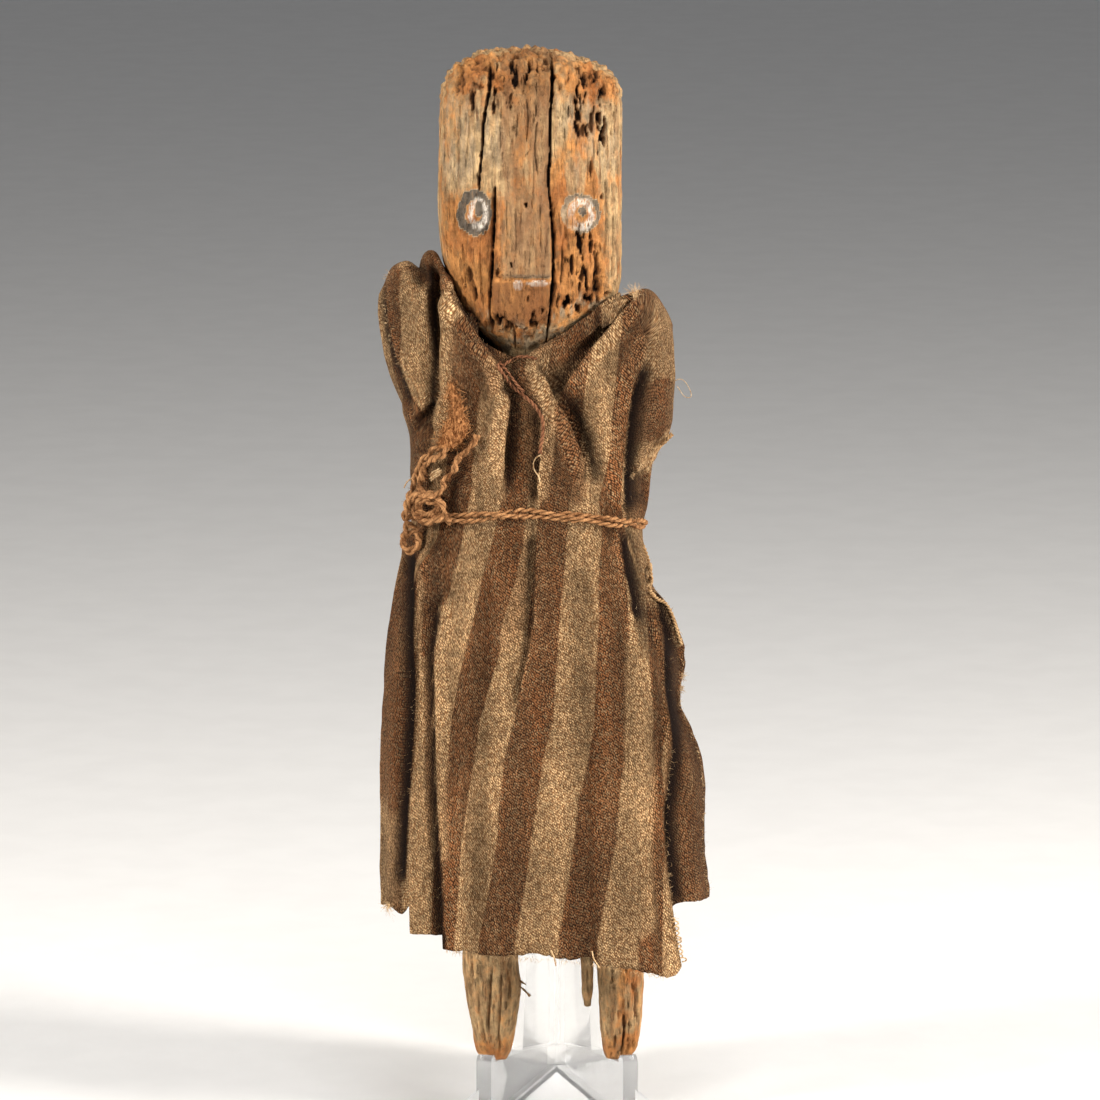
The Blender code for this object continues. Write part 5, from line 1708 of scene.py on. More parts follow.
@dataclass
class StripedTunic:
    """The tunic: one woven cloth round the figure, from the hem up its walls and over to the neck edge."""

    columns: int = 384
    wall_rows: int = 186
    cap_rows: int = 30
    roundness: float = 3.4
    crowding: float = 2.2
    edge_thickness: float = 1.3
    hem_turns: tuple[Pair, ...] = ((1, 7.0), (1, 0.4), (0.5, -0.2))
    neck_turns: tuple[Pair, ...] = ((0.4, 0.2), (0.8, -0.6), (0.88, -6.0))
    widest: float = 50.0
    deepest: float = 27.0
    mean_radius: float = 46.0
    sections: tuple = (
        (24, -51.0, 43.0, -33.0, 22.0),
        (50, -51.5, 42.5, -33.0, 22.0),
        (72, -51.5, 41.5, -32.5, 22.0),
        (97, -51.5, 40.0, -31.0, 22.0),
        (120, -50.5, 38.0, -29.0, 22.0),
        (143, -49.0, 33.5, -26.5, 21.5),
        (162, -46.0, 28.5, -24.2, 20.5),
        (171, -43.0, 25.5, -22.8, 19.6),
        (177.5, -41.6, 24.4, -21.8, 19.0),
        (184, -42.0, 25.0, -22.2, 19.4),
        (194, -43.2, 27.6, -22.6, 20.2),
        (203, -44.0, 29.8, -22.8, 21.0),
        (214, -45.4, 31.8, -22.8, 21.6),
        (230, -48.0, 32.6, -22.2, 22.0),
        (243, -48.6, 32.0, -21.4, 22.0),
        (256, -47.6, 29.0, -20.4, 21.0),
    )
    outline: tuple = (
        (255, 384, 640), (270, 383, 652), (285, 382, 660), (300, 380, 666), (315, 380, 671), (330, 382, 671),
        (345, 384, 672), (360, 387, 673), (375, 391, 674), (390, 397, 673), (405, 404, 672), (420, 408, 671),
        (435, 411, 667), (450, 412, 655), (465, 412, 650), (480, 412, 649), (495, 413, 648), (510, 414, 645),
        (525, 411, 641), (540, 403, 641), (555, 402, 646), (570, 399, 648), (585, 396, 650), (600, 394, 664),
        (615, 392, 673), (630, 390, 678), (645, 388, 683), (660, 387, 684), (675, 386, 683), (690, 386, 679),
        (705, 384, 677), (720, 384, 685), (735, 383, 693), (750, 383, 697), (780, 382, 703), (840, 382, 702),
        (870, 381, 704), (885, 382, 708), (900, 383, 708), (1000, 383, 700),
    )
    corner_reach: float = 0.975
    hem_height: float = 37.0
    back_hem: tuple = ((-57, 50.0), (-47, 48.0), (-40, 50.0), (30, 51.0), (49, 52.0))
    front_hem_in_view: Trace = (
        (380, 884), (385, 894), (389, 907), (392, 917), (395, 904), (402, 894), (411, 889), (411.5, 931),
        (440, 936), (443, 947), (462, 950), (480, 955), (515, 955), (540, 953), (556, 957), (575, 960),
        (590, 957), (597, 965), (620, 967), (643, 971), (672, 976), (681, 958), (684, 912), (690, 902),
        (707, 893),
    )
    shoulders: Pair = (250.0, 240.0)
    shoulder_lifts: Pair = (8.0, 5.5)
    neck: Triple = (-36.9, 25.6, 21.0)
    neck_back_height: float = 246.0
    neck_edge: tuple = (
        (-37.4, 259.4), (-34.9, 255.4), (-33.4, 250.8), (-31.4, 247.2), (-27, 241), (-20.5, 234.8),
        (-12, 230.6), (-3.9, 234.4), (6.5, 241.4), (14.9, 246.4), (21.1, 248.8), (26, 250.6),
    )
    neck_fronts: tuple = ((229, 236, 242, 250), (15.8, 18.6, 22.6, 25.0))
    belt_height: float = 177.3
    back_limit: float = 22.0
    stripe_edges: tuple[float, ...] = (-28, -14, 0, 14, 28, 42, 56, 70, 84)
    stripe_rows: tuple = (
        (290, (500, 522, 540, 566, 606, 626, 650, 662, 680)),
        (330, (492, 516, 532, 556, 600, 622, 646, 658, 674)),
        (370, (486, 512, 526, 548, 590, 618, 642, 656, 672)),
        (410, (480, 508, 524, 545, 586, 614, 630, 650, 668)),
        (450, (476, 506, 526, 543, 584, 612, 626, 648, 664)),
        (500, (472, 503, 530, 541, 571, 600, 622, 640, 656)),
        (540, (463, 494, 526, 536, 570, 603, 628, 646, 664)),
        (580, (455, 483, 518, 533, 566, 600, 628, 646, 662)),
        (620, (442, 475, 505, 530, 562, 600, 631, 648, 662)),
        (660, (434, 464, 500, 523, 560, 598, 633, 650, 664)),
        (720, (424, 452, 482, 516, 556, 596, 630, 655, 668)),
        (760, (418, 449, 476, 505, 546, 590, 628, 651, 662)),
        (800, (408, 442, 470, 501, 540, 580, 622, 650, 666)),
        (840, (404, 438, 463, 498, 534, 576, 619, 645, 666)),
        (880, (402, 434, 461, 492, 529, 570, 612, 643, 665)),
        (940, (404, 432, 456, 480, 518, 560, 600, 640, 664)),
    )

    def base(self) -> Points:
        """The cloth without its folds.

        Every column starts at its own hem height. The section table gives the wall at a height, wider at
        the back than at the front, and the last rows arch over the shoulders to the neck opening.

        Returns:
            A grid from the hem to the neck edge; its first and last column are the back's middle.
        """
        angles = even_angles(self.columns, self.roundness, self.widest, self.deepest, self.crowding)
        across, deep = rounded_square(angles, self.roundness)
        to_back = (deep + 1) / 2
        dense = flowing(self.sections, 8)
        limits = self.side_limits(dense)

        def wall(height: Points) -> Points:
            """The wall's points at a height a column."""
            left_front, right_front, front, back = (
                np.interp(height, dense[:, 0], dense[:, k]) for k in range(1, 5)
            )
            left_back, right_back = (np.interp(height, dense[:, 0], limit) for limit in limits)
            ease = smooth_step(to_back, 0, 0.75)
            left = left_front + (left_back - left_front) * ease
            right = right_front + (right_back - right_front) * ease
            x = (left + right) / 2 + (right - left) / 2 * across
            y = np.where(deep < 0, -front, back) * deep
            return np.stack([x, y, np.broadcast_to(height, x.shape)], axis=-1)

        neck_left, neck_right, neck_back = self.neck
        neck_x = (neck_left + neck_right) / 2 + (neck_right - neck_left) / 2 * across
        curve = flowing(self.neck_edge, 8)
        front_edge = np.interp(neck_x, curve[:, 0], curve[:, 1])
        neck_z = front_edge + (self.neck_back_height - front_edge) * smooth_step(to_back, 0.74, 0.97)
        neck_y = np.where(deep < 0, np.interp(neck_z, *self.neck_fronts), neck_back) * deep
        neck = np.stack([neck_x, neck_y, neck_z], axis=-1)

        side = smooth_step(np.abs(across), 0.5, 0.95)
        shoulder = np.where(across < 0, *self.shoulders)
        lift = np.where(across < 0, *self.shoulder_lifts)
        top = (neck_z - 1.2) * (1 - side) + shoulder * side
        hem = self.hem(wall, to_back)
        rows = [wall(hem + (top - hem) * share) for share in np.linspace(0, 1, self.wall_rows)]
        edge = rows[-1]
        for share in np.linspace(0, 1, self.cap_rows + 1)[1:]:
            row = edge + (neck - edge) * share
            row[:, 2] += lift * side * 4 * share * (1 - share)
            rows.append(row)
        return np.array(rows)

    def side_limits(self, dense: Points) -> tuple[Points, Points]:
        """How far the back's corners reach to the left and right, so that the outline is the picture's.

        Args:
            dense: The section table, one row a height.

        Returns:
            The left and the right limit at each height.
        """
        heights = dense[:, 0]
        probe = 50.0
        ends = [np.stack([0 * heights + x, 0 * heights + 5, heights], axis=-1) for x in (-probe, probe)]
        left_pixel, right_pixel = (VIEW.pixels(end) for end in ends)
        table = np.array(self.outline, float)
        limits = []
        for column in (1, 2):
            wanted = np.interp(left_pixel[:, 1], table[:, 0], table[:, column])
            loose = smooth_step(left_pixel[:, 1], 560, 600) * (column - 1)
            wanted = wanted + 2.2 * loose * line_noise(heights, 3.2, 56)
            share = (wanted - left_pixel[:, 0]) / (right_pixel[:, 0] - left_pixel[:, 0])
            limits.append(-probe + 2 * probe * share)
        middle = (limits[0] + limits[1]) / 2
        half = (limits[1] - limits[0]) / 2 / self.corner_reach
        return np.minimum(middle - half, dense[:, 1] - 0.5), np.maximum(middle + half, dense[:, 2] + 0.5)

    def hem(self, wall: object, to_back: Points) -> Points:
        """The hem's height a column: where the picture has it in front, and the back's own line behind."""
        heights = np.linspace(22, 66, 89)
        tries = np.stack([wall(np.full(self.columns + 1, height)) for height in heights])
        seen = VIEW.pixels(tries)
        across, down = np.array(self.front_hem_in_view).T
        miss = np.abs(seen[..., 1] - np.interp(seen[..., 0], across, down))
        front = heights[np.argmin(miss, axis=0)]
        front = np.convolve(np.pad(front, 1, mode="edge"), np.array([1, 2, 1]) / 4, mode="valid")
        mean = wall(np.full(self.columns + 1, self.hem_height))
        curve = flowing(self.back_hem, 8)
        back = np.interp(mean[:, 0], curve[:, 0], curve[:, 1])
        ragged = 0.5 * layered_noise(flat_place(mean[:, :2]), (2.2, 2.2, 1), 51)
        return front + (back - front) * smooth_step(to_back, 0.2, 0.5) + ragged

    def folded(self, base: Points) -> Points:
        """The cloth with its folds.

        Each fold moves the places beside its trace: across it, along the cloth, and out or in. Low noise
        adds the cloth's own unevenness, and gathers run up and down from the belt.

        Args:
            base: The cloth without folds.

        Returns:
            The grid with every fold added.
        """
        around = np.gradient(base, axis=1)
        around[:, 0] = around[:, -1] = base[:, 1] - base[:, -2]
        normal = unit(np.cross(around, np.gradient(base, axis=0)))
        spots = VIEW.pixels(base)
        facing = smooth_step(-normal[..., 1], -0.08, 0.2)
        belt = smooth_step(np.abs(base[..., 2] - self.belt_height), 0.8, 8.0)
        out = np.zeros(base.shape[:-1])
        shift = np.zeros_like(base)
        for fold in (*SKIRT_FOLDS, *TORSO_FOLDS):
            near = near_trace(spots, fold.trace, FOLD_REACH)
            along, push, across = fold.move(spots[near])
            mask = belt[near] * (1.0 if fold.through else facing[near])
            direction = np.stack([across[:, 0], 0 * along, -across[:, 1]], axis=-1)
            skin = normal[near]
            direction = direction - (direction * skin).sum(axis=-1, keepdims=True) * skin
            shift[near] += direction * (along * mask)[:, None]
            out[near] += push * mask
        turn = np.linspace(0, 2 * math.pi, self.columns + 1)
        ring = self.mean_radius * np.stack([np.cos(turn), np.sin(turn)], axis=-1)
        ring = np.broadcast_to(ring, (*base.shape[:2], 2))
        place = np.concatenate([ring, base[..., 2:]], axis=-1)
        away = np.abs(base[..., 2] - self.belt_height)
        gathers = 0.55 * lattice_noise(place / np.array((3.4, 3.4, 40)), 52) * np.exp(-((away / 16) ** 2))
        out += gathers * smooth_step(away, 0.5, 4)
        out += 0.5 * layered_noise(place, (11, 11, 34), 53, 2)
        out += 0.16 * layered_noise(place, (3.2, 3.2, 4.5), 54, 2)
        behind = smooth_step(normal[..., 1], 0.3, 0.7)
        hang = np.sin(place[..., 0] / 3.1 + 1.3 * lattice_noise(place / 30, 55))
        out += behind * 0.8 * hang * smooth_step(away, 2, 30) * falling(base[..., 2], 190, 235)
        moved = base + shift + normal * out[..., None]
        moved[..., 1] = np.minimum(moved[..., 1], self.back_limit)
        moved[:, -1] = moved[:, 0]
        return moved

    def edged(self, moved: Points) -> Points:
        """The cloth with its hem and neck edge turned in, so that its thickness shows there."""
        hem, neck = moved[0], moved[-1]
        inward = -unit((hem - CLOTH_MIDDLE) * LEVEL) * self.edge_thickness
        outward = unit((neck - CLOTH_MIDDLE) * LEVEL) * self.edge_thickness
        start = neck + 0.1 * unit(neck - moved[-4])
        hem_rows = [hem + inward * share + UPRIGHT * rise for share, rise in self.hem_turns]
        neck_rows = [start + outward * share + UPRIGHT * rise for share, rise in self.neck_turns]
        return np.concatenate([np.array(hem_rows), moved, np.array(neck_rows)])

    def stripes(self, base: Points, moved: Points) -> Points:
        """The distance across the stripes of each place, and its known hue, for the dye.

        In front the distance is read between the stripe edges of the picture. Past both ends it goes on
        with the distance along the cloth's row, and further back with the distance to the back's middle less
        a straight line's value for the row, so that the stripes of the back run straight.

        Args:
            base: The cloth without folds.
            moved: The cloth with its folds.

        Returns:
            Two values a place.
        """
        spots = VIEW.pixels(moved)
        downs = np.array([row[0] for row in self.stripe_rows], float)
        edges = np.array([row[1] for row in self.stripe_rows], float)
        here = np.stack([np.interp(spots[..., 1], downs, column) for column in edges.T], axis=-1)
        x = spots[..., 0:1]
        cloth = np.array(self.stripe_edges, float)
        share = np.clip((x - here[..., :-1]) / (here[..., 1:] - here[..., :-1]), 0, 1)
        value = cloth[0] + (share * np.diff(cloth)).sum(axis=-1)
        run = np.cumsum(step_lengths(base, 1), axis=1)
        column = np.arange(base.shape[1])
        quarter = base.shape[1] // 4
        in_front = (column > quarter * 0.55) & (column < base.shape[1] - quarter * 0.55)
        inside = (x[..., 0] > here[..., 0]) & (x[..., 0] < here[..., -1]) & in_front
        first = np.argmax(inside, axis=1)
        last = base.shape[1] - 1 - np.argmax(inside[:, ::-1], axis=1)
        row = np.arange(len(base))
        at_first = sliding(run[row, first], 4)
        at_last = sliding(run[row, last], 4)
        total = run[:, -1]
        ends = (
            (cloth[0], -1, at_first, run, column[None] < first[:, None]),
            (cloth[-1], 1, total - at_last, total[:, None] - run, column[None] > last[:, None]),
        )
        for start, way, reach, to_seam, beyond in ends:
            level = np.polyval(np.polyfit(row, reach, 1), row)
            past = reach[:, None] - to_seam
            steady = past + (level - reach)[:, None] * smooth_step(past, 8, 30)
            value = np.where(beyond, start + way * steady, value)
        front = smooth_step(np.gradient(base[..., 0], axis=1), -0.06, 0.04)
        hue = np.zeros(base.shape[:2])
        for patch in PATCHES:
            cover = patch.cover(spots) * front
            hue = hue * (1 - np.abs(cover)) + cover
        return np.stack([value, hue], axis=-1)

    def weave(self, base: Points, moved: Points) -> Points:
        """Distances along the cloth in millimetres: round from the front's middle, and up from mid height.

        The distance round is the flat cloth's, and what the folds add to it, averaged up and down so that
        the yarns stay straight past the ends of a fold. The cloth is pulled wider at both sides, so its
        yarns lie further apart there.

        Args:
            base: The cloth without folds.
            moved: The cloth with its folds.

        Returns:
            Two values a place.
        """
        flat = step_lengths(base, 1)
        added = sliding(step_lengths(moved, 1) - flat, 12)
        across = np.abs(np.diff(base[..., 0], axis=1, prepend=base[:, :1, 0]))
        turned = 0.62 + 0.38 * smooth_step(across / np.maximum(flat, 1e-6), 0.35, 0.9)
        around = np.cumsum((flat + added) * turned, axis=1)
        around = around - around[:, self.columns // 2][:, None]
        upward = np.cumsum(step_lengths(base, 0), axis=0)
        level = sliding(upward - upward[self.wall_rows // 2], 12, axis=1)
        return np.stack([around, level], axis=-1)

    def painted_shade(self, base: Points, grid: Points) -> Points:
        """Painted shade of the gaps and inside the hem, and how far each place stands out, for a painted
        highlight and shade, as a colour a place.
        """
        spots = VIEW.pixels(grid)
        front = for_edges(smooth_step(np.gradient(base[..., 0], axis=1), -0.10, -0.01))
        shade = np.zeros(spots.shape[:-1])
        for gap in GAP_SHADES:
            near = near_trace(spots, gap.trace, GAP_REACH)
            shade[near] = np.maximum(shade[near], gap.shade(spots[near]))
        shade = shade * front
        # Painted shade inside the turned-in hem.
        shade[:2] = np.maximum(shade[:2], 0.7)
        relief = self.relief(base, grid[EDGE_ROWS:-EDGE_ROWS])
        return np.stack([shade, relief, 0 * shade, 0 * shade + 1], axis=-1)

    def relief(self, base: Points, moved: Points) -> Points:
        """How far each place stands out from the cloth round it: 0.5 level, 1 on a ridge, 0 in a hollow.

        The distance that the folds move a place outwards, less its mean over a square of about 12 mm; the
        material lightens ridges with it as a painted highlight and darkens hollows as painted shade.

        Args:
            base: The cloth without folds.
            moved: The cloth with its folds.

        Returns:
            One value a place of the whole grid, edge rows included.
        """
        around = np.gradient(base, axis=1)
        normal = unit(np.cross(around, np.gradient(base, axis=0)))
        out = ((moved - base) * normal).sum(axis=-1)
        level = out
        for axis, reach in ((0, 5), (1, 11)):
            level = sliding(level, reach, axis)
        return for_edges(0.5 + 0.5 * np.tanh((out - level) / 1.3))

    def make(self, material: Material) -> Object:
        """The tunic as one object, with the maps of its stripes and its weave."""
        base = self.base()
        moved = self.folded(base)
        grid = self.edged(moved)
        rows, columns = grid.shape[:2]
        piece = mesh_piece("tunic_cloth", FRAME.place(grid), tube_faces(rows, columns, False))
        weave = for_edges(self.weave(base, moved))
        past_edge = np.array([0.5, 1.0, 6.0])[:, None]
        weave[:EDGE_ROWS, :, 1] -= past_edge[::-1]
        weave[-EDGE_ROWS:, :, 1] += past_edge
        give_uv(piece, "weave", weave * MM)
        give_uv(piece, "stripes", for_edges(self.stripes(base, moved)) * np.array([MM, 1.0]))
        give_colour(piece, "painted_shade", self.painted_shade(base, grid))
        weld(piece, 1e-7)
        piece.data.materials.append(material)
        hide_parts("striped_wool_tunic")
        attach(piece, "root")
        return piece


# Cords, threads and loose wool


class Ground:
    """The cloth as something to lay threads on, from where the picture is seen."""

    def __init__(self, cloth: Object) -> None:
        """Keep the cloth's faces in a tree that rays can be cast at."""
        mesh = cloth.data
        corners = read_all(mesh.loops, "vertex_index", 1, np.int32)
        starts = read_all(mesh.polygons, "loop_start", 1, np.int32)
        totals = read_all(mesh.polygons, "loop_total", 1, np.int32)
        self.points = read_all(mesh.vertices, "co", 3, np.float32).reshape(-1, 3).astype(float)
        faces = [corners[start : start + total].tolist() for start, total in zip(starts, totals)]
        self.tree = BVHTree.FromPolygons(self.points.tolist(), faces)

    def hit(self, pixel: Pair) -> tuple[Points, Points, float]:
        """The eye, the direction through a pixel, and how far along it the cloth lies or comes nearest."""
        eye, sight, up = VIEW.axes()
        zoom = VIEW.distance * VIEW.pixels_per_metre
        across = (pixel[0] - VIEW.picture / 2) / zoom
        above = (VIEW.picture / 2 - pixel[1]) / zoom
        direction = sight + across * np.array([1.0, 0, 0]) + above * up
        direction /= np.linalg.norm(direction)
        found = self.tree.ray_cast(Vector(eye), Vector(direction))
        if found[0] is None:
            found = self.tree.find_nearest(Vector(eye + direction * VIEW.distance))
        return eye, direction, float((np.array(found[0]) - eye) @ direction)

    def laid(self, trace: Trace, lift: object, gap: float = 0.5, bridge: int = 4) -> Points:
        """A line laid on the cloth along a trace of the picture, bridging its creases.

        Args:
            trace: The pixels that the line runs through.
            lift: How far off the cloth its middle lies, in millimetres: one value, or one a trace point.
            gap: Distance between its points.
            bridge: How many points on either side it rests on.

        Returns:
            Points in the figure's frame.
        """
        lifts = np.broadcast_to(np.asarray(lift, float), (len(trace),))
        rows = np.column_stack([np.array(trace, float), lifts])
        line = flowing(rows, 8)
        scaled = np.column_stack([line[:, :2] / PIXELS_PER_MM, line[:, 2]])
        even = evenly(scaled, gap)
        even[:, :2] *= PIXELS_PER_MM
        eyes, directions, runs = zip(*(self.hit((x, y)) for x, y, _ in even))
        runs = np.array(runs)
        eased = sliding(sliding(runs, bridge, blend=np.min), bridge)
        eased = np.minimum(eased, runs) - even[:, 2] * MM
        places = np.array(eyes) + np.array(directions) * eased[:, None]
        return evenly(FRAME.local(places), gap)


@dataclass
class Belt:
    """The cord tied round the waist: three plied yarns that turn slowly round each other."""

    yarn: Yarn = Yarn(1.75, 2, 6.4)
    strands: int = 3
    offset: float = 1.0
    clear: float = -0.4
    turn_length: float = 60.0
    squash: Pair = (0.75, 1.15)
    wander: float = 0.35
    wander_turns: int = 7
    slots: int = 360
    middle: Pair = (-8.0, 0.0)
    heights: tuple = (
        (-60, 178.6), (-41, 178.0), (-32, 177.8), (-19, 179.2), (-5.5, 179.6), (7.5, 178.0), (20.6, 176.4),
        (30, 175.4), (60, 175.4),
    )

    def height(self, x: Points) -> Points:
        """The belt's height at a place across."""
        curve = flowing(self.heights, 6)
        return np.interp(x, curve[:, 0], curve[:, 1])

    def ring(self, ground: Ground) -> Points:
        """The line round the waist: at each angle as far out as the cloth near the belt reaches."""
        local = FRAME.local(ground.points)
        away = local - np.array([*self.middle, 0])
        near = np.abs(local[:, 2] - self.height(local[:, 0])) < 1.7
        turn = np.arctan2(away[near, 1], away[near, 0])
        reach = np.hypot(away[near, 0], away[near, 1])
        count = self.slots
        slot = np.floor((turn + math.pi) / (2 * math.pi) * count).astype(int) % count
        widest = np.zeros(count)
        np.maximum.at(widest, slot, reach)
        filled = np.flatnonzero(widest > 0)
        widest = np.interp(np.arange(count), filled, widest[filled], period=count)
        widest = np.max([np.roll(widest, k) for k in range(-1, 2)], axis=0)
        widest = np.mean([np.roll(widest, k) for k in range(-2, 3)], axis=0)
        angles = (np.arange(count) + 0.5) / count * 2 * math.pi - math.pi
        x = self.middle[0] + (widest + self.clear) * np.cos(angles)
        y = self.middle[1] + (widest + self.clear) * np.sin(angles)
        line = np.stack([x, y, self.height(x)], axis=1)
        return evenly(np.vstack([line, line[:1]]), 0.5)

    def make(self, ground: Ground, material: Material) -> Object:
        """The belt as one object of closed yarns, each circling the ring's line a whole number of times."""
        ring = self.ring(ground)
        run = run_along(ring)
        turns = round(run[-1] / self.turn_length)
        out = unit((ring - np.array([*self.middle, 0])) * LEVEL)
        lines = []
        for strand in range(self.strands):
            wander = self.wander * np.sin(run / run[-1] * 2 * math.pi * self.wander_turns + 2 * strand)
            turn = 2 * math.pi * (turns * run / run[-1] + strand / self.strands) + wander
            proud = self.squash[0] * self.offset * np.sin(turn)
            rise = self.squash[1] * self.offset * np.cos(turn)
            lines.append(ring + UPRIGHT * rise[:, None] + out * proud[:, None])
        yarn = replace(self.yarn, pitch=run[-1] / round(run[-1] / self.yarn.pitch))
        piece = yarn_piece("belt", yarn, lines, UPRIGHT, closed=True, fuzz=CORD_FUZZ)
        piece.data.materials.append(material)
        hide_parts("belt_cord")
        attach(piece, "root")
        return piece


@dataclass
class BeltEnd:
    """The free end of the belt cord: a loop under the belt, a tangled coil on it, and strands above."""

    yarn: Yarn = Yarn(2.1, 2, 7.0, Lay.RIGHT, 14, unevenness=0.4)
    coil_middle: Pair = (427.0, 507.0)
    coil_outer: Pair = (19.5, 15.5)
    coil_inner: Pair = (9.0, 6.0)
    coil_turns: float = 3.6
    ring_middle: Pair = (411.0, 541.0)
    ring_radius: Pair = (9.5, 8.0)
    ring_turns: float = 1.72
    up: tuple = (
        (405.5, 508, 5.8), (409, 499, 5.0), (411, 490, 3.6), (414, 481, 2.6), (417, 471, 2.1),
        (421, 462, 1.9), (428, 455, 1.9), (436, 449, 2.2), (444, 445, 2.6), (448, 449, 3.0),
        (442, 455, 3.4), (434, 459, 3.4), (427, 464, 3.4), (423, 472, 3.4), (420, 480, 3.4),
        (418, 488, 3.8), (424, 494, 4.2), (432, 496, 4.2), (439, 494, 3.8), (444, 489, 3.0),
        (443, 482, 2.6), (447, 476, 2.4), (453, 471, 2.2), (455, 464, 2.0), (459, 457, 1.8),
        (466, 451, 2.0), (471, 446, 1.8), (476, 441, 1.6), (478, 434, 1.2),
    )
    kink: float = 0.8
    kink_length: float = 2.6
    gap: float = 0.42

    def route(self) -> tuple[Trace, list[float]]:
        """The cord's way in the picture and how far off the cloth each point lies, in millimetres."""
        points = [(452.0, 521.0, 1.8), (447.0, 520.0, 2.6)]
        steps = round(self.coil_turns * 12)
        for step in range(steps + 1):
            share = step / steps
            turn = math.radians(38) + 2 * math.pi * self.coil_turns * share
            inwards = 1 - abs(2 * share - 1)
            wide = self.coil_outer[0] + (self.coil_inner[0] - self.coil_outer[0]) * inwards
            tall = self.coil_outer[1] + (self.coil_inner[1] - self.coil_outer[1]) * inwards
            wobble = 1 + 0.13 * math.sin(2.6 * turn + 1.0) + 0.09 * math.sin(4.3 * turn)
            drift = 2.6 * math.sin(5.1 * share * math.pi)
            height = 3.4 + 2.2 * share + 0.5 * math.sin(3.1 * turn)
            x = self.coil_middle[0] + drift + wide * wobble * math.cos(turn)
            y = self.coil_middle[1] + 0.7 * drift + tall * wobble * math.sin(turn)
            points.append((x, y, height))
        points += [(408.0, 521.0, 5.2), (416.0, 529.0, 4.6)]
        steps = round(self.ring_turns * 12)
        for step in range(steps + 1):
            share = step / steps
            turn = math.radians(-60) + 2 * math.pi * self.ring_turns * share
            radius = self.ring_radius[0] + (self.ring_radius[1] - self.ring_radius[0]) * share
            x = self.ring_middle[0] + radius * math.cos(turn)
            y = self.ring_middle[1] + 1.12 * radius * math.sin(turn)
            points.append((x, y, 2.2 + 2.2 * share))
        points += [(404.5, 528.0, 4.8), (404.0, 518.0, 5.4), *self.up]
        return tuple((x, y) for x, y, _ in points), [lift for _, _, lift in points]

    def make(self, ground: Ground, material: Material) -> Object:
        """The cord as one object; its real length is logged."""
        trace, lifts = self.route()
        line = ground.laid(trace, lifts, self.gap, bridge=7)
        run = np.arange(len(line)) * self.gap / self.kink_length
        kinks = [lattice_noise(np.stack([run, 0 * run, 0 * run + k], axis=1), 44) for k in (0.5, 3.5, 6.5)]
        line = evenly(line + self.kink * np.stack(kinks, axis=1) * np.array([1, 0.6, 1]), self.gap)
        piece = yarn_piece("belt_cord_end", self.yarn, [line], FRONT, fuzz=COILED_FUZZ)
        piece.data.materials.append(material)
        path = FRAME.place(evenly(line, 0.8))
        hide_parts("belt_cord_loop", "belt_cord_coil", "belt_cord_strands")
        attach(piece, "root")
        LOG.info("belt cord end: %.3f m", line_length(line) * MM)
        return piece


@dataclass
class NeckThread:
    """The thin reddish thread that hangs from the neck slit down the chest."""

    yarn: Yarn = Yarn(1.35, 2, 4.0, Lay.LEFT, 12, unevenness=0.15)
    trace: Trace = (
        (497, 364), (501, 371), (506.5, 379), (511.5, 385), (517, 390), (524, 396), (531, 402), (537, 409),
        (541.5, 417), (543, 426), (542.5, 436), (541, 445), (540, 454),
    )

    def make(self, ground: Ground, material: Material) -> Object:
        """The thread as one object; its real length is logged."""
        line = ground.laid(self.trace, 0.75, 0.35, bridge=6)
        piece = yarn_piece("reddish_thread", self.yarn, [line], FRONT, fuzz=THREAD_FUZZ)
        piece.data.materials.append(material)
        path = FRAME.place(evenly(line, 0.8))
        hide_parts("neck_thread")
        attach(piece, "root")
        LOG.info("neck thread: %.3f m", line_length(line) * MM)
        return piece


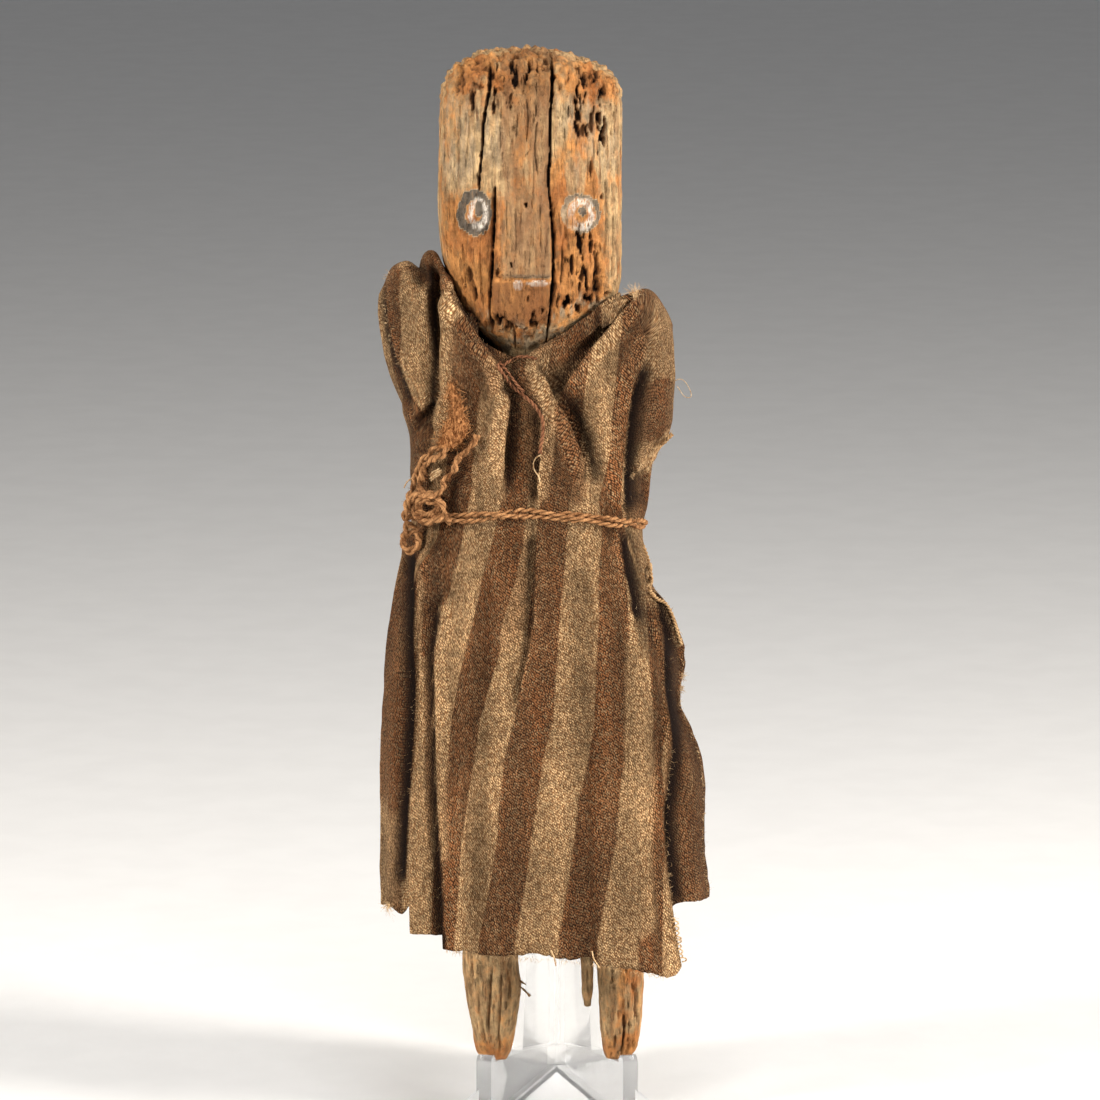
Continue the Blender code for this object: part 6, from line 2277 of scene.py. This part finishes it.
@dataclass
class WoolTuft:
    """The tuft of orange-brown wool on the chest: a soft lump of combed fibres."""

    spine: Trace = ((450, 384), (452.5, 394), (456, 404), (456.5, 415), (455, 427), (452, 438), (446, 448))
    half_widths: tuple[float, ...] = (0.4, 1.1, 1.2, 2.2, 3.4, 4.0, 2.6)
    half_depths: tuple[float, ...] = (0.3, 1.0, 1.4, 1.7, 1.8, 1.8, 1.2)
    rows: int = 90
    sides: int = 56
    fibre: Fibres = Fibres(4.4, 0.24, 0.62, 9)
    fibre_count: int = 1300

    def surface(self, ground: Ground) -> Points:
        """The lump: an oval carried down the spine, ridged by noise that is long along it."""
        line = ground.laid(self.spine, 1.2, 0.5, bridge=5)
        share = np.linspace(0, 1, self.rows)
        places = np.linspace(0, 1, len(line))
        middle = np.stack([np.interp(share, places, line[:, k]) for k in range(3)], axis=1)
        keys = np.linspace(0, 1, len(self.half_widths))
        wide = np.interp(share, keys, self.half_widths)[:, None]
        deep = np.interp(share, keys, self.half_depths)[:, None]
        turn = np.arange(self.sides) / self.sides * 2 * math.pi
        x = middle[:, :1] + wide * np.cos(turn)
        y = middle[:, 1:2] - deep * np.sin(turn)
        z = np.broadcast_to(middle[:, 2:], x.shape)
        grid = np.stack([x, y, z], axis=-1)
        out = np.stack([np.cos(turn), -np.sin(turn), 0 * turn], axis=-1)
        swell = 1.1 * layered_noise(grid, (1.5, 1.5, 2.6), 81)
        swell = swell + 0.3 * layered_noise(grid, (0.6, 0.6, 1.4), 82, 2)
        ends = np.sin(share * math.pi)[:, None] ** 0.5
        return grid + out * (swell * ends)[..., None]

    def make(self, ground: Ground, material: Material) -> Object:
        """The lump and its loose fibres as one object."""
        grid = self.surface(ground)
        rows, columns = grid.shape[:2]
        faces = tube_faces(rows, columns, True)[:, ::-1].tolist()
        random = np.random.default_rng(83)
        row = random.integers(2, rows - 3, self.fibre_count)
        column = random.integers(0, columns, self.fibre_count)
        turn = column / columns * 2 * math.pi
        out = np.stack([np.cos(turn), -np.sin(turn), 0 * turn], axis=-1)
        front = out[:, 1] < 0.3
        up = np.where(random.random(self.fibre_count) < 0.5, 1.0, -1.0)[:, None] * UPRIGHT
        directions = up * 1.2 + 0.16 * out + 0.22 * random.normal(0, 1, out.shape) * np.array([1, 0.3, 0.3])
        ribbons, ribbon_faces = self.fibre.ribbons(grid[row, column][front], directions[front], 84)
        used = rows * columns
        points = np.vstack([grid.reshape(-1, 3), ribbons])
        piece = mesh_piece("wool_tuft", FRAME.place(points), faces + (ribbon_faces + used).tolist())
        piece.data.materials.append(material)
        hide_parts("orange_wool_tuft")
        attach(piece, "root")
        return piece


@dataclass
class LooseThreads:
    """Stray threads and frayed edges of the tunic, and the fine hairs that stand off its wool.

    A strand is its name, its trace in the picture and its lift off the cloth. A fray is its name, its trace,
    and its fibres' number, length, direction and spread.
    """

    thread: Yarn = Yarn(0.55, 2, 2.2, Lay.RIGHT, 8)
    threads: tuple = (
        ("curl on the fold edge", ((541, 455), (536, 458), (533.5, 464), (535, 471), (539, 477),
            (540, 486)), 0.6),
        ("first thread at the hem", ((551, 950), (554, 957), (556, 966)), 0.5),
        ("second thread at the hem", ((592, 951), (594, 959), (600, 968)), 0.5),
        ("stray thread by the coil", ((412, 478), (407, 482), (404, 488)), 1.0),
        ("first thread of the knot", ((430, 479), (433, 475), (437, 472), (442, 470)), 3.2),
        ("second thread of the knot", ((431, 481), (434, 478), (439, 475), (442, 472)), 3.4),
        ("third thread of the knot", ((430, 476), (433, 472), (437, 470), (440, 468)), 3.4),
        ("fourth thread of the knot", ((431, 478), (434, 476), (437, 474), (441, 471)), 3.8),
    )
    stitch: Yarn = Yarn(1.15, 2, 3.6, Lay.RIGHT, 10, unevenness=0.2)
    stitches: tuple = (
        ("stitch along the collar", ((501, 369), (505, 364), (512, 360), (520, 357), (528, 357),
            (537, 359)), 1.0),
        ("stitch down the flap", ((499, 362), (505, 369), (511, 377), (518, 386), (524, 392)), 1.3),
    )
    selvedge: Yarn = Yarn(1.5, 2, 2.6, Lay.RIGHT, 10, unevenness=0.3)
    selvedges: tuple = (
        ("turned edge beside the slit", ((643, 546), (647, 556), (650, 568), (651, 580), (649, 589),
            (655, 597)), 0.4),
        ("edge of the back flap", ((650, 592), (657, 599), (665, 603), (671, 613), (676, 628), (681, 645)),
            0.4),
        ("right sleeve's edge", ((672, 434), (665, 441), (657, 449), (652, 457), (649, 466)), 0.4),
    )
    wisp: Yarn = Yarn(0.26, 2, 1.6, Lay.RIGHT, 6)
    wisps: tuple = (
        ("thin curl by the right sleeve", ((673, 382), (680, 379), (686, 383), (691, 393), (690, 397.5),
            (684, 396), (677, 386)), 0.4),
        ("thin thread at the top of the flap", ((444, 292), (447, 294), (451, 293)), 0.6),
    )
    frays: tuple = (
        ("right sleeve's edge", ((668, 431), (660, 440), (653, 449), (649, 460), (646, 470)),
            300, 1.9, (0.7, -0.5, -0.5), 0.45),
        ("seam of the right sleeve", ((664, 436), (652, 452), (640, 466), (630, 476)),
            160, 1.6, (0.3, -0.6, -0.8), 0.45),
        ("selvedge of the back flap", ((648, 585), (664, 601), (673, 620), (682, 645), (683, 672),
            (678, 705)), 260, 1.4, (0.8, -0.3, 0.3), 0.45),
        ("edge of the back flap", ((678, 705), (692, 735), (702, 780), (702, 850), (707, 892)),
            220, 1.2, (1.0, -0.3, -0.1), 0.45),
        ("tail of the back hem", ((386, 893), (388, 905), (392, 915)), 90, 3.2, (0.1, 0.0, -1.0), 0.45),
        ("top of the left arm", ((388, 270), (386, 300), (389, 330), (399, 360), (410, 388)),
            90, 1.6, (-1.0, -0.2, 0.0), 0.45),
        ("right edge of the flap", ((671, 748), (667, 800), (667, 860), (672, 915), (681, 955)),
            110, 1.8, (1.0, -0.3, -0.2), 0.45),
        ("hem", ((446, 950), (500, 957), (560, 959), (620, 969), (670, 976)), 260, 1.7, (0.0, -0.2, -1.0),
            0.45),
        ("left panel edge", ((414, 700), (411, 820), (413, 930)), 60, 1.4, (-1.0, -0.3, 0.0), 0.45),
        ("tuft at the right shoulder", ((633, 296), (636, 298)), 70, 5.0, (-0.25, -0.3, 1.3), 0.16),
    )
    hair: Fibres = Fibres(1.5, 0.045, 0.45, 3)
    hair_count: int = 5200
    back_limit: float = 22.4
    spacing: float = 0.3
    ladder: Pair = (671.0, 918.0)
    ladder_step: Pair = (0.9, 4.6)
    ladder_loops: int = 10

    def lay(self, ground: Ground, strands: tuple, gap: float, bridge: int) -> list[Points]:
        """The line of each named strand, laid on the cloth at its own lift."""
        return [ground.laid(trace, lift, gap, bridge) for _, trace, lift in strands]

    def fray_points(self, ground: Ground) -> tuple[Points, Points]:
        """Fibres that stick out along the frayed edges: the points and the faces."""
        points, faces, used = [], [], 0
        for number, (_, trace, count, length, way, spread) in enumerate(self.frays):
            random = np.random.default_rng(FRAY_SEED + number)
            line = ground.laid(trace, 0.3, 0.4, bridge=2)
            pick = line[random.integers(0, len(line), count)] + random.normal(0, 0.35, (count, 3))
            directions = np.array(way) + spread * random.normal(0, 1, (count, 3))
            fibre = Fibres(length, 0.16, 0.32)
            made, quads = fibre.ribbons(pick, directions, FRAY_CURL_SEED + number)
            points.append(made)
            faces.append(quads + used)
            used += len(made)
        return np.vstack(points), np.vstack(faces)

    def make_frays(self, ground: Ground, material: Material) -> Object:
        """The frayed edges as one object."""
        points, faces = self.fray_points(ground)
        piece = mesh_piece("frayed_edges", FRAME.place(points), faces)
        return self.dress(piece, material)

    def make_hairs(self, ground: Ground, material: Material) -> Object:
        """Fine hairs all over the cloth as one object."""
        random = np.random.default_rng(110)
        local = FRAME.local(ground.points)
        pick = local[random.integers(0, len(local), self.hair_count)]
        out = unit((pick - CLOTH_MIDDLE) * np.array([1, 1.3, 0]))
        directions = out + 0.7 * random.normal(0, 1, out.shape)
        points, faces = self.hair.ribbons(pick, directions, 111)
        points[:, 1] = np.minimum(points[:, 1], self.back_limit)
        piece = mesh_piece("wool_hairs", FRAME.place(points), faces)
        return self.dress(piece, material)

    def make_threads(self, ground: Ground, material: Material) -> Object:
        """The stray threads, and the ladder of weft loops at the slit's lower end, as one object."""
        lines = self.lay(ground, self.threads, self.spacing, 3)
        random = np.random.default_rng(120)
        for step in range(self.ladder_loops):
            x = self.ladder[0] + self.ladder_step[0] * step
            y = self.ladder[1] + self.ladder_step[1] * step + random.uniform(-1.2, 1.2)
            wide = random.uniform(4.0, 8.0)
            turns = ((0, 0), (0.5, -1.0), (1, 0.6), (0.8, 2.6), (0.4, 3.4))
            loop = tuple((x + share * wide, y + down) for share, down in turns)
            lines.append(ground.laid(loop, 0.5, self.spacing, bridge=2))
        piece = yarn_piece("stray_threads", self.thread, lines, FRONT)
        return self.dress(piece, material)

    def make_stitches(self, ground: Ground, material: Material) -> Object:
        """The thicker stitches at the neck as one object."""
        lines = self.lay(ground, self.stitches, self.spacing, 3)
        return self.dress(yarn_piece("neck_stitches", self.stitch, lines, FRONT), material)

    def make_selvedges(self, ground: Ground, material: Material) -> Object:
        """The thick edge yarns of the back flap and the right sleeve as one object."""
        lines = self.lay(ground, self.selvedges, self.spacing, 2)
        piece = yarn_piece("selvedge_yarns", self.selvedge, lines, FRONT, fuzz=THREAD_FUZZ)
        return self.dress(piece, material)

    def make_wisps(self, ground: Ground, material: Material) -> Object:
        """The thinnest threads as one object."""
        lines = self.lay(ground, self.wisps, 0.25, 2)
        return self.dress(yarn_piece("thin_wisps", self.wisp, lines, FRONT), material)

    def dress(self, piece: Object, material: Material) -> Object:
        """Give a piece its material and body."""
        piece.data.materials.append(material)
        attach(piece, "root")
        return piece


# The easel and the stage


@dataclass
class Easel:
    """The clear moulded easel: the row's own solid with its edges rounded."""

    rounding: float = 0.0005

    def make(self, node: Object, material: Material) -> Object:
        """The easel as one object."""
        body = bmesh.new()
        body.from_mesh(node.data)
        bmesh.ops.remove_doubles(body, verts=body.verts, dist=1e-6)
        bmesh.ops.dissolve_limit(body, angle_limit=math.radians(1), verts=body.verts, edges=body.edges)
        mesh = bpy.data.meshes.new("easel")
        body.to_mesh(mesh)
        body.free()
        mesh.shade_smooth()
        mesh.set_sharp_from_angle(angle=math.radians(40))
        piece = bpy.data.objects.new("easel", mesh)
        bpy.context.scene.collection.objects.link(piece)
        bevel = piece.modifiers.new("rounding", "BEVEL")
        bevel.width = self.rounding
        bevel.segments = 2
        bevel.limit_method = "ANGLE"
        bevel.angle_limit = math.radians(30)
        mesh.materials.append(material)
        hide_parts("clear_easel")
        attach(piece, "root")
        return piece


@dataclass(frozen=True)
class Lamp:
    """A soft lamp: where it stands, how large it is and how bright."""

    name: str
    place: Triple
    size: float
    power: float
    colour: Colour = (1.0, 1.0, 1.0)

    def hang(self, aim: Triple) -> None:
        """Add the lamp, turned towards a place."""
        data = bpy.data.lights.new(self.name, "AREA")
        data.shape = "SQUARE"
        data.size = self.size
        data.energy = self.power
        data.color = self.colour
        lamp = bpy.data.objects.new(self.name, data)
        lamp.location = self.place
        towards = Vector(aim) - Vector(self.place)
        lamp.rotation_euler = towards.to_track_quat("-Z", "Y").to_euler()
        bpy.context.scene.collection.objects.link(lamp)


@dataclass
class Stage:
    """The pale floor, the pale surroundings and the soft lamps."""

    floor_colour: Colour = (0.86, 0.86, 0.86)
    sky: Colour = (0.93, 0.94, 0.96)
    floor_reach: float = 4.0
    sky_strength: float = 0.90
    sky_light: float = 0.10
    aim: Triple = (0.0, -0.04, 0.18)
    lamps: tuple[Lamp, ...] = (
        Lamp("left lamp", (-1.10, -0.62, 0.72), 0.4, 20.0, (1.0, 0.94, 0.86)),
        Lamp("right lamp", (1.12, -0.52, 0.68), 0.4, 29.0, (1.0, 0.94, 0.86)),
        Lamp("top lamp", (0.05, -0.50, 1.25), 0.5, 6.0),
    )

    def make(self) -> Object:
        """Floor, world and lamps.

        The sky lights the pieces softly, and looks brighter where it shows or is reflected.
        """
        bpy.context.scene.view_settings.view_transform = "Standard"
        finish = Finish("pale_floor")
        speckle = finish.spread(finish.noise(finish.place((40, 40, 40)), 3.0), 0.3, 0.7, 0.97, 1.0)
        colour = finish.times(self.floor_colour, speckle)
        material = finish.finish(Base_Color=colour, Roughness=0.7, Specular_IOR_Level=0.2)
        corners = self.floor_reach * np.array([(-1, -1, 0), (1, -1, 0), (1, 1, 0), (-1, 1, 0)])
        floor = mesh_piece("floor", corners, [[0, 1, 2, 3]], smooth=False)
        floor.data.materials.append(material)
        world = bpy.data.worlds.new("pale studio")
        world.use_nodes = True
        background = world.node_tree.nodes["Background"]
        background.inputs["Color"].default_value = (*self.sky, 1.0)
        nodes, links = world.node_tree.nodes, world.node_tree.links
        rays = nodes.new("ShaderNodeLightPath")
        strength = nodes.new("ShaderNodeMapRange")
        strength.inputs["To Min"].default_value = self.sky_strength
        strength.inputs["To Max"].default_value = self.sky_light
        links.new(rays.outputs["Is Diffuse Ray"], strength.inputs["Value"])
        links.new(strength.outputs["Result"], background.inputs["Strength"])
        bpy.context.scene.world = world
        for lamp in self.lamps:
            lamp.hang(self.aim)
        return floor


def report(piece: Object) -> Object:
    """Log a piece's name and number of faces, and pass it on."""
    LOG.info("%s: %d faces", piece.name, len(piece.data.polygons))
    return piece


def main() -> None:
    """Build each sub-assembly in order."""
    logging.basicConfig(level=logging.INFO, format="%(name)s: %(message)s")
    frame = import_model()
    VIEW.make_camera()

    wool = StripedWool().make()
    tunic = report(StripedTunic().make(wool))
    ground = Ground(tunic)
    brown = WoolYarn("belt_wool", (0.53, 0.272, 0.118), (0.12, 0.044, 0.015)).make()
    red = WoolYarn("reddish_wool", (0.32, 0.140, 0.070), (0.10, 0.036, 0.016)).make()
    tan = WoolYarn("selvedge_wool", (0.66, 0.435, 0.225), (0.25, 0.125, 0.050)).make()
    cream = LooseWool("cream_wool", (0.68, 0.49, 0.28), (0.36, 0.21, 0.10)).make()
    orange = LooseWool("orange_wool", (0.56, 0.270, 0.105), (0.15, 0.052, 0.016)).make()
    report(Belt().make(ground, brown))
    report(BeltEnd().make(ground, brown))
    report(NeckThread().make(ground, red))
    report(WoolTuft().make(ground, orange))
    loose = LooseThreads()
    extras = [
        report(loose.make_frays(ground, cream)),
        report(loose.make_hairs(ground, cream)),
        report(loose.make_threads(ground, cream)),
        report(loose.make_stitches(ground, red)),
        report(loose.make_selvedges(ground, tan)),
        report(loose.make_wisps(ground, cream)),
    ]
    wood = WeatheredWood().make()
    report(CarvedFigure().make(wood))
    report(CarvedFigure().make_twigs(wood))
    report(Easel().make(frame["nodes"]["clear_easel"], ClearPlastic().make()))
    report(Stage().make())


if __name__ == "__main__":
    main()
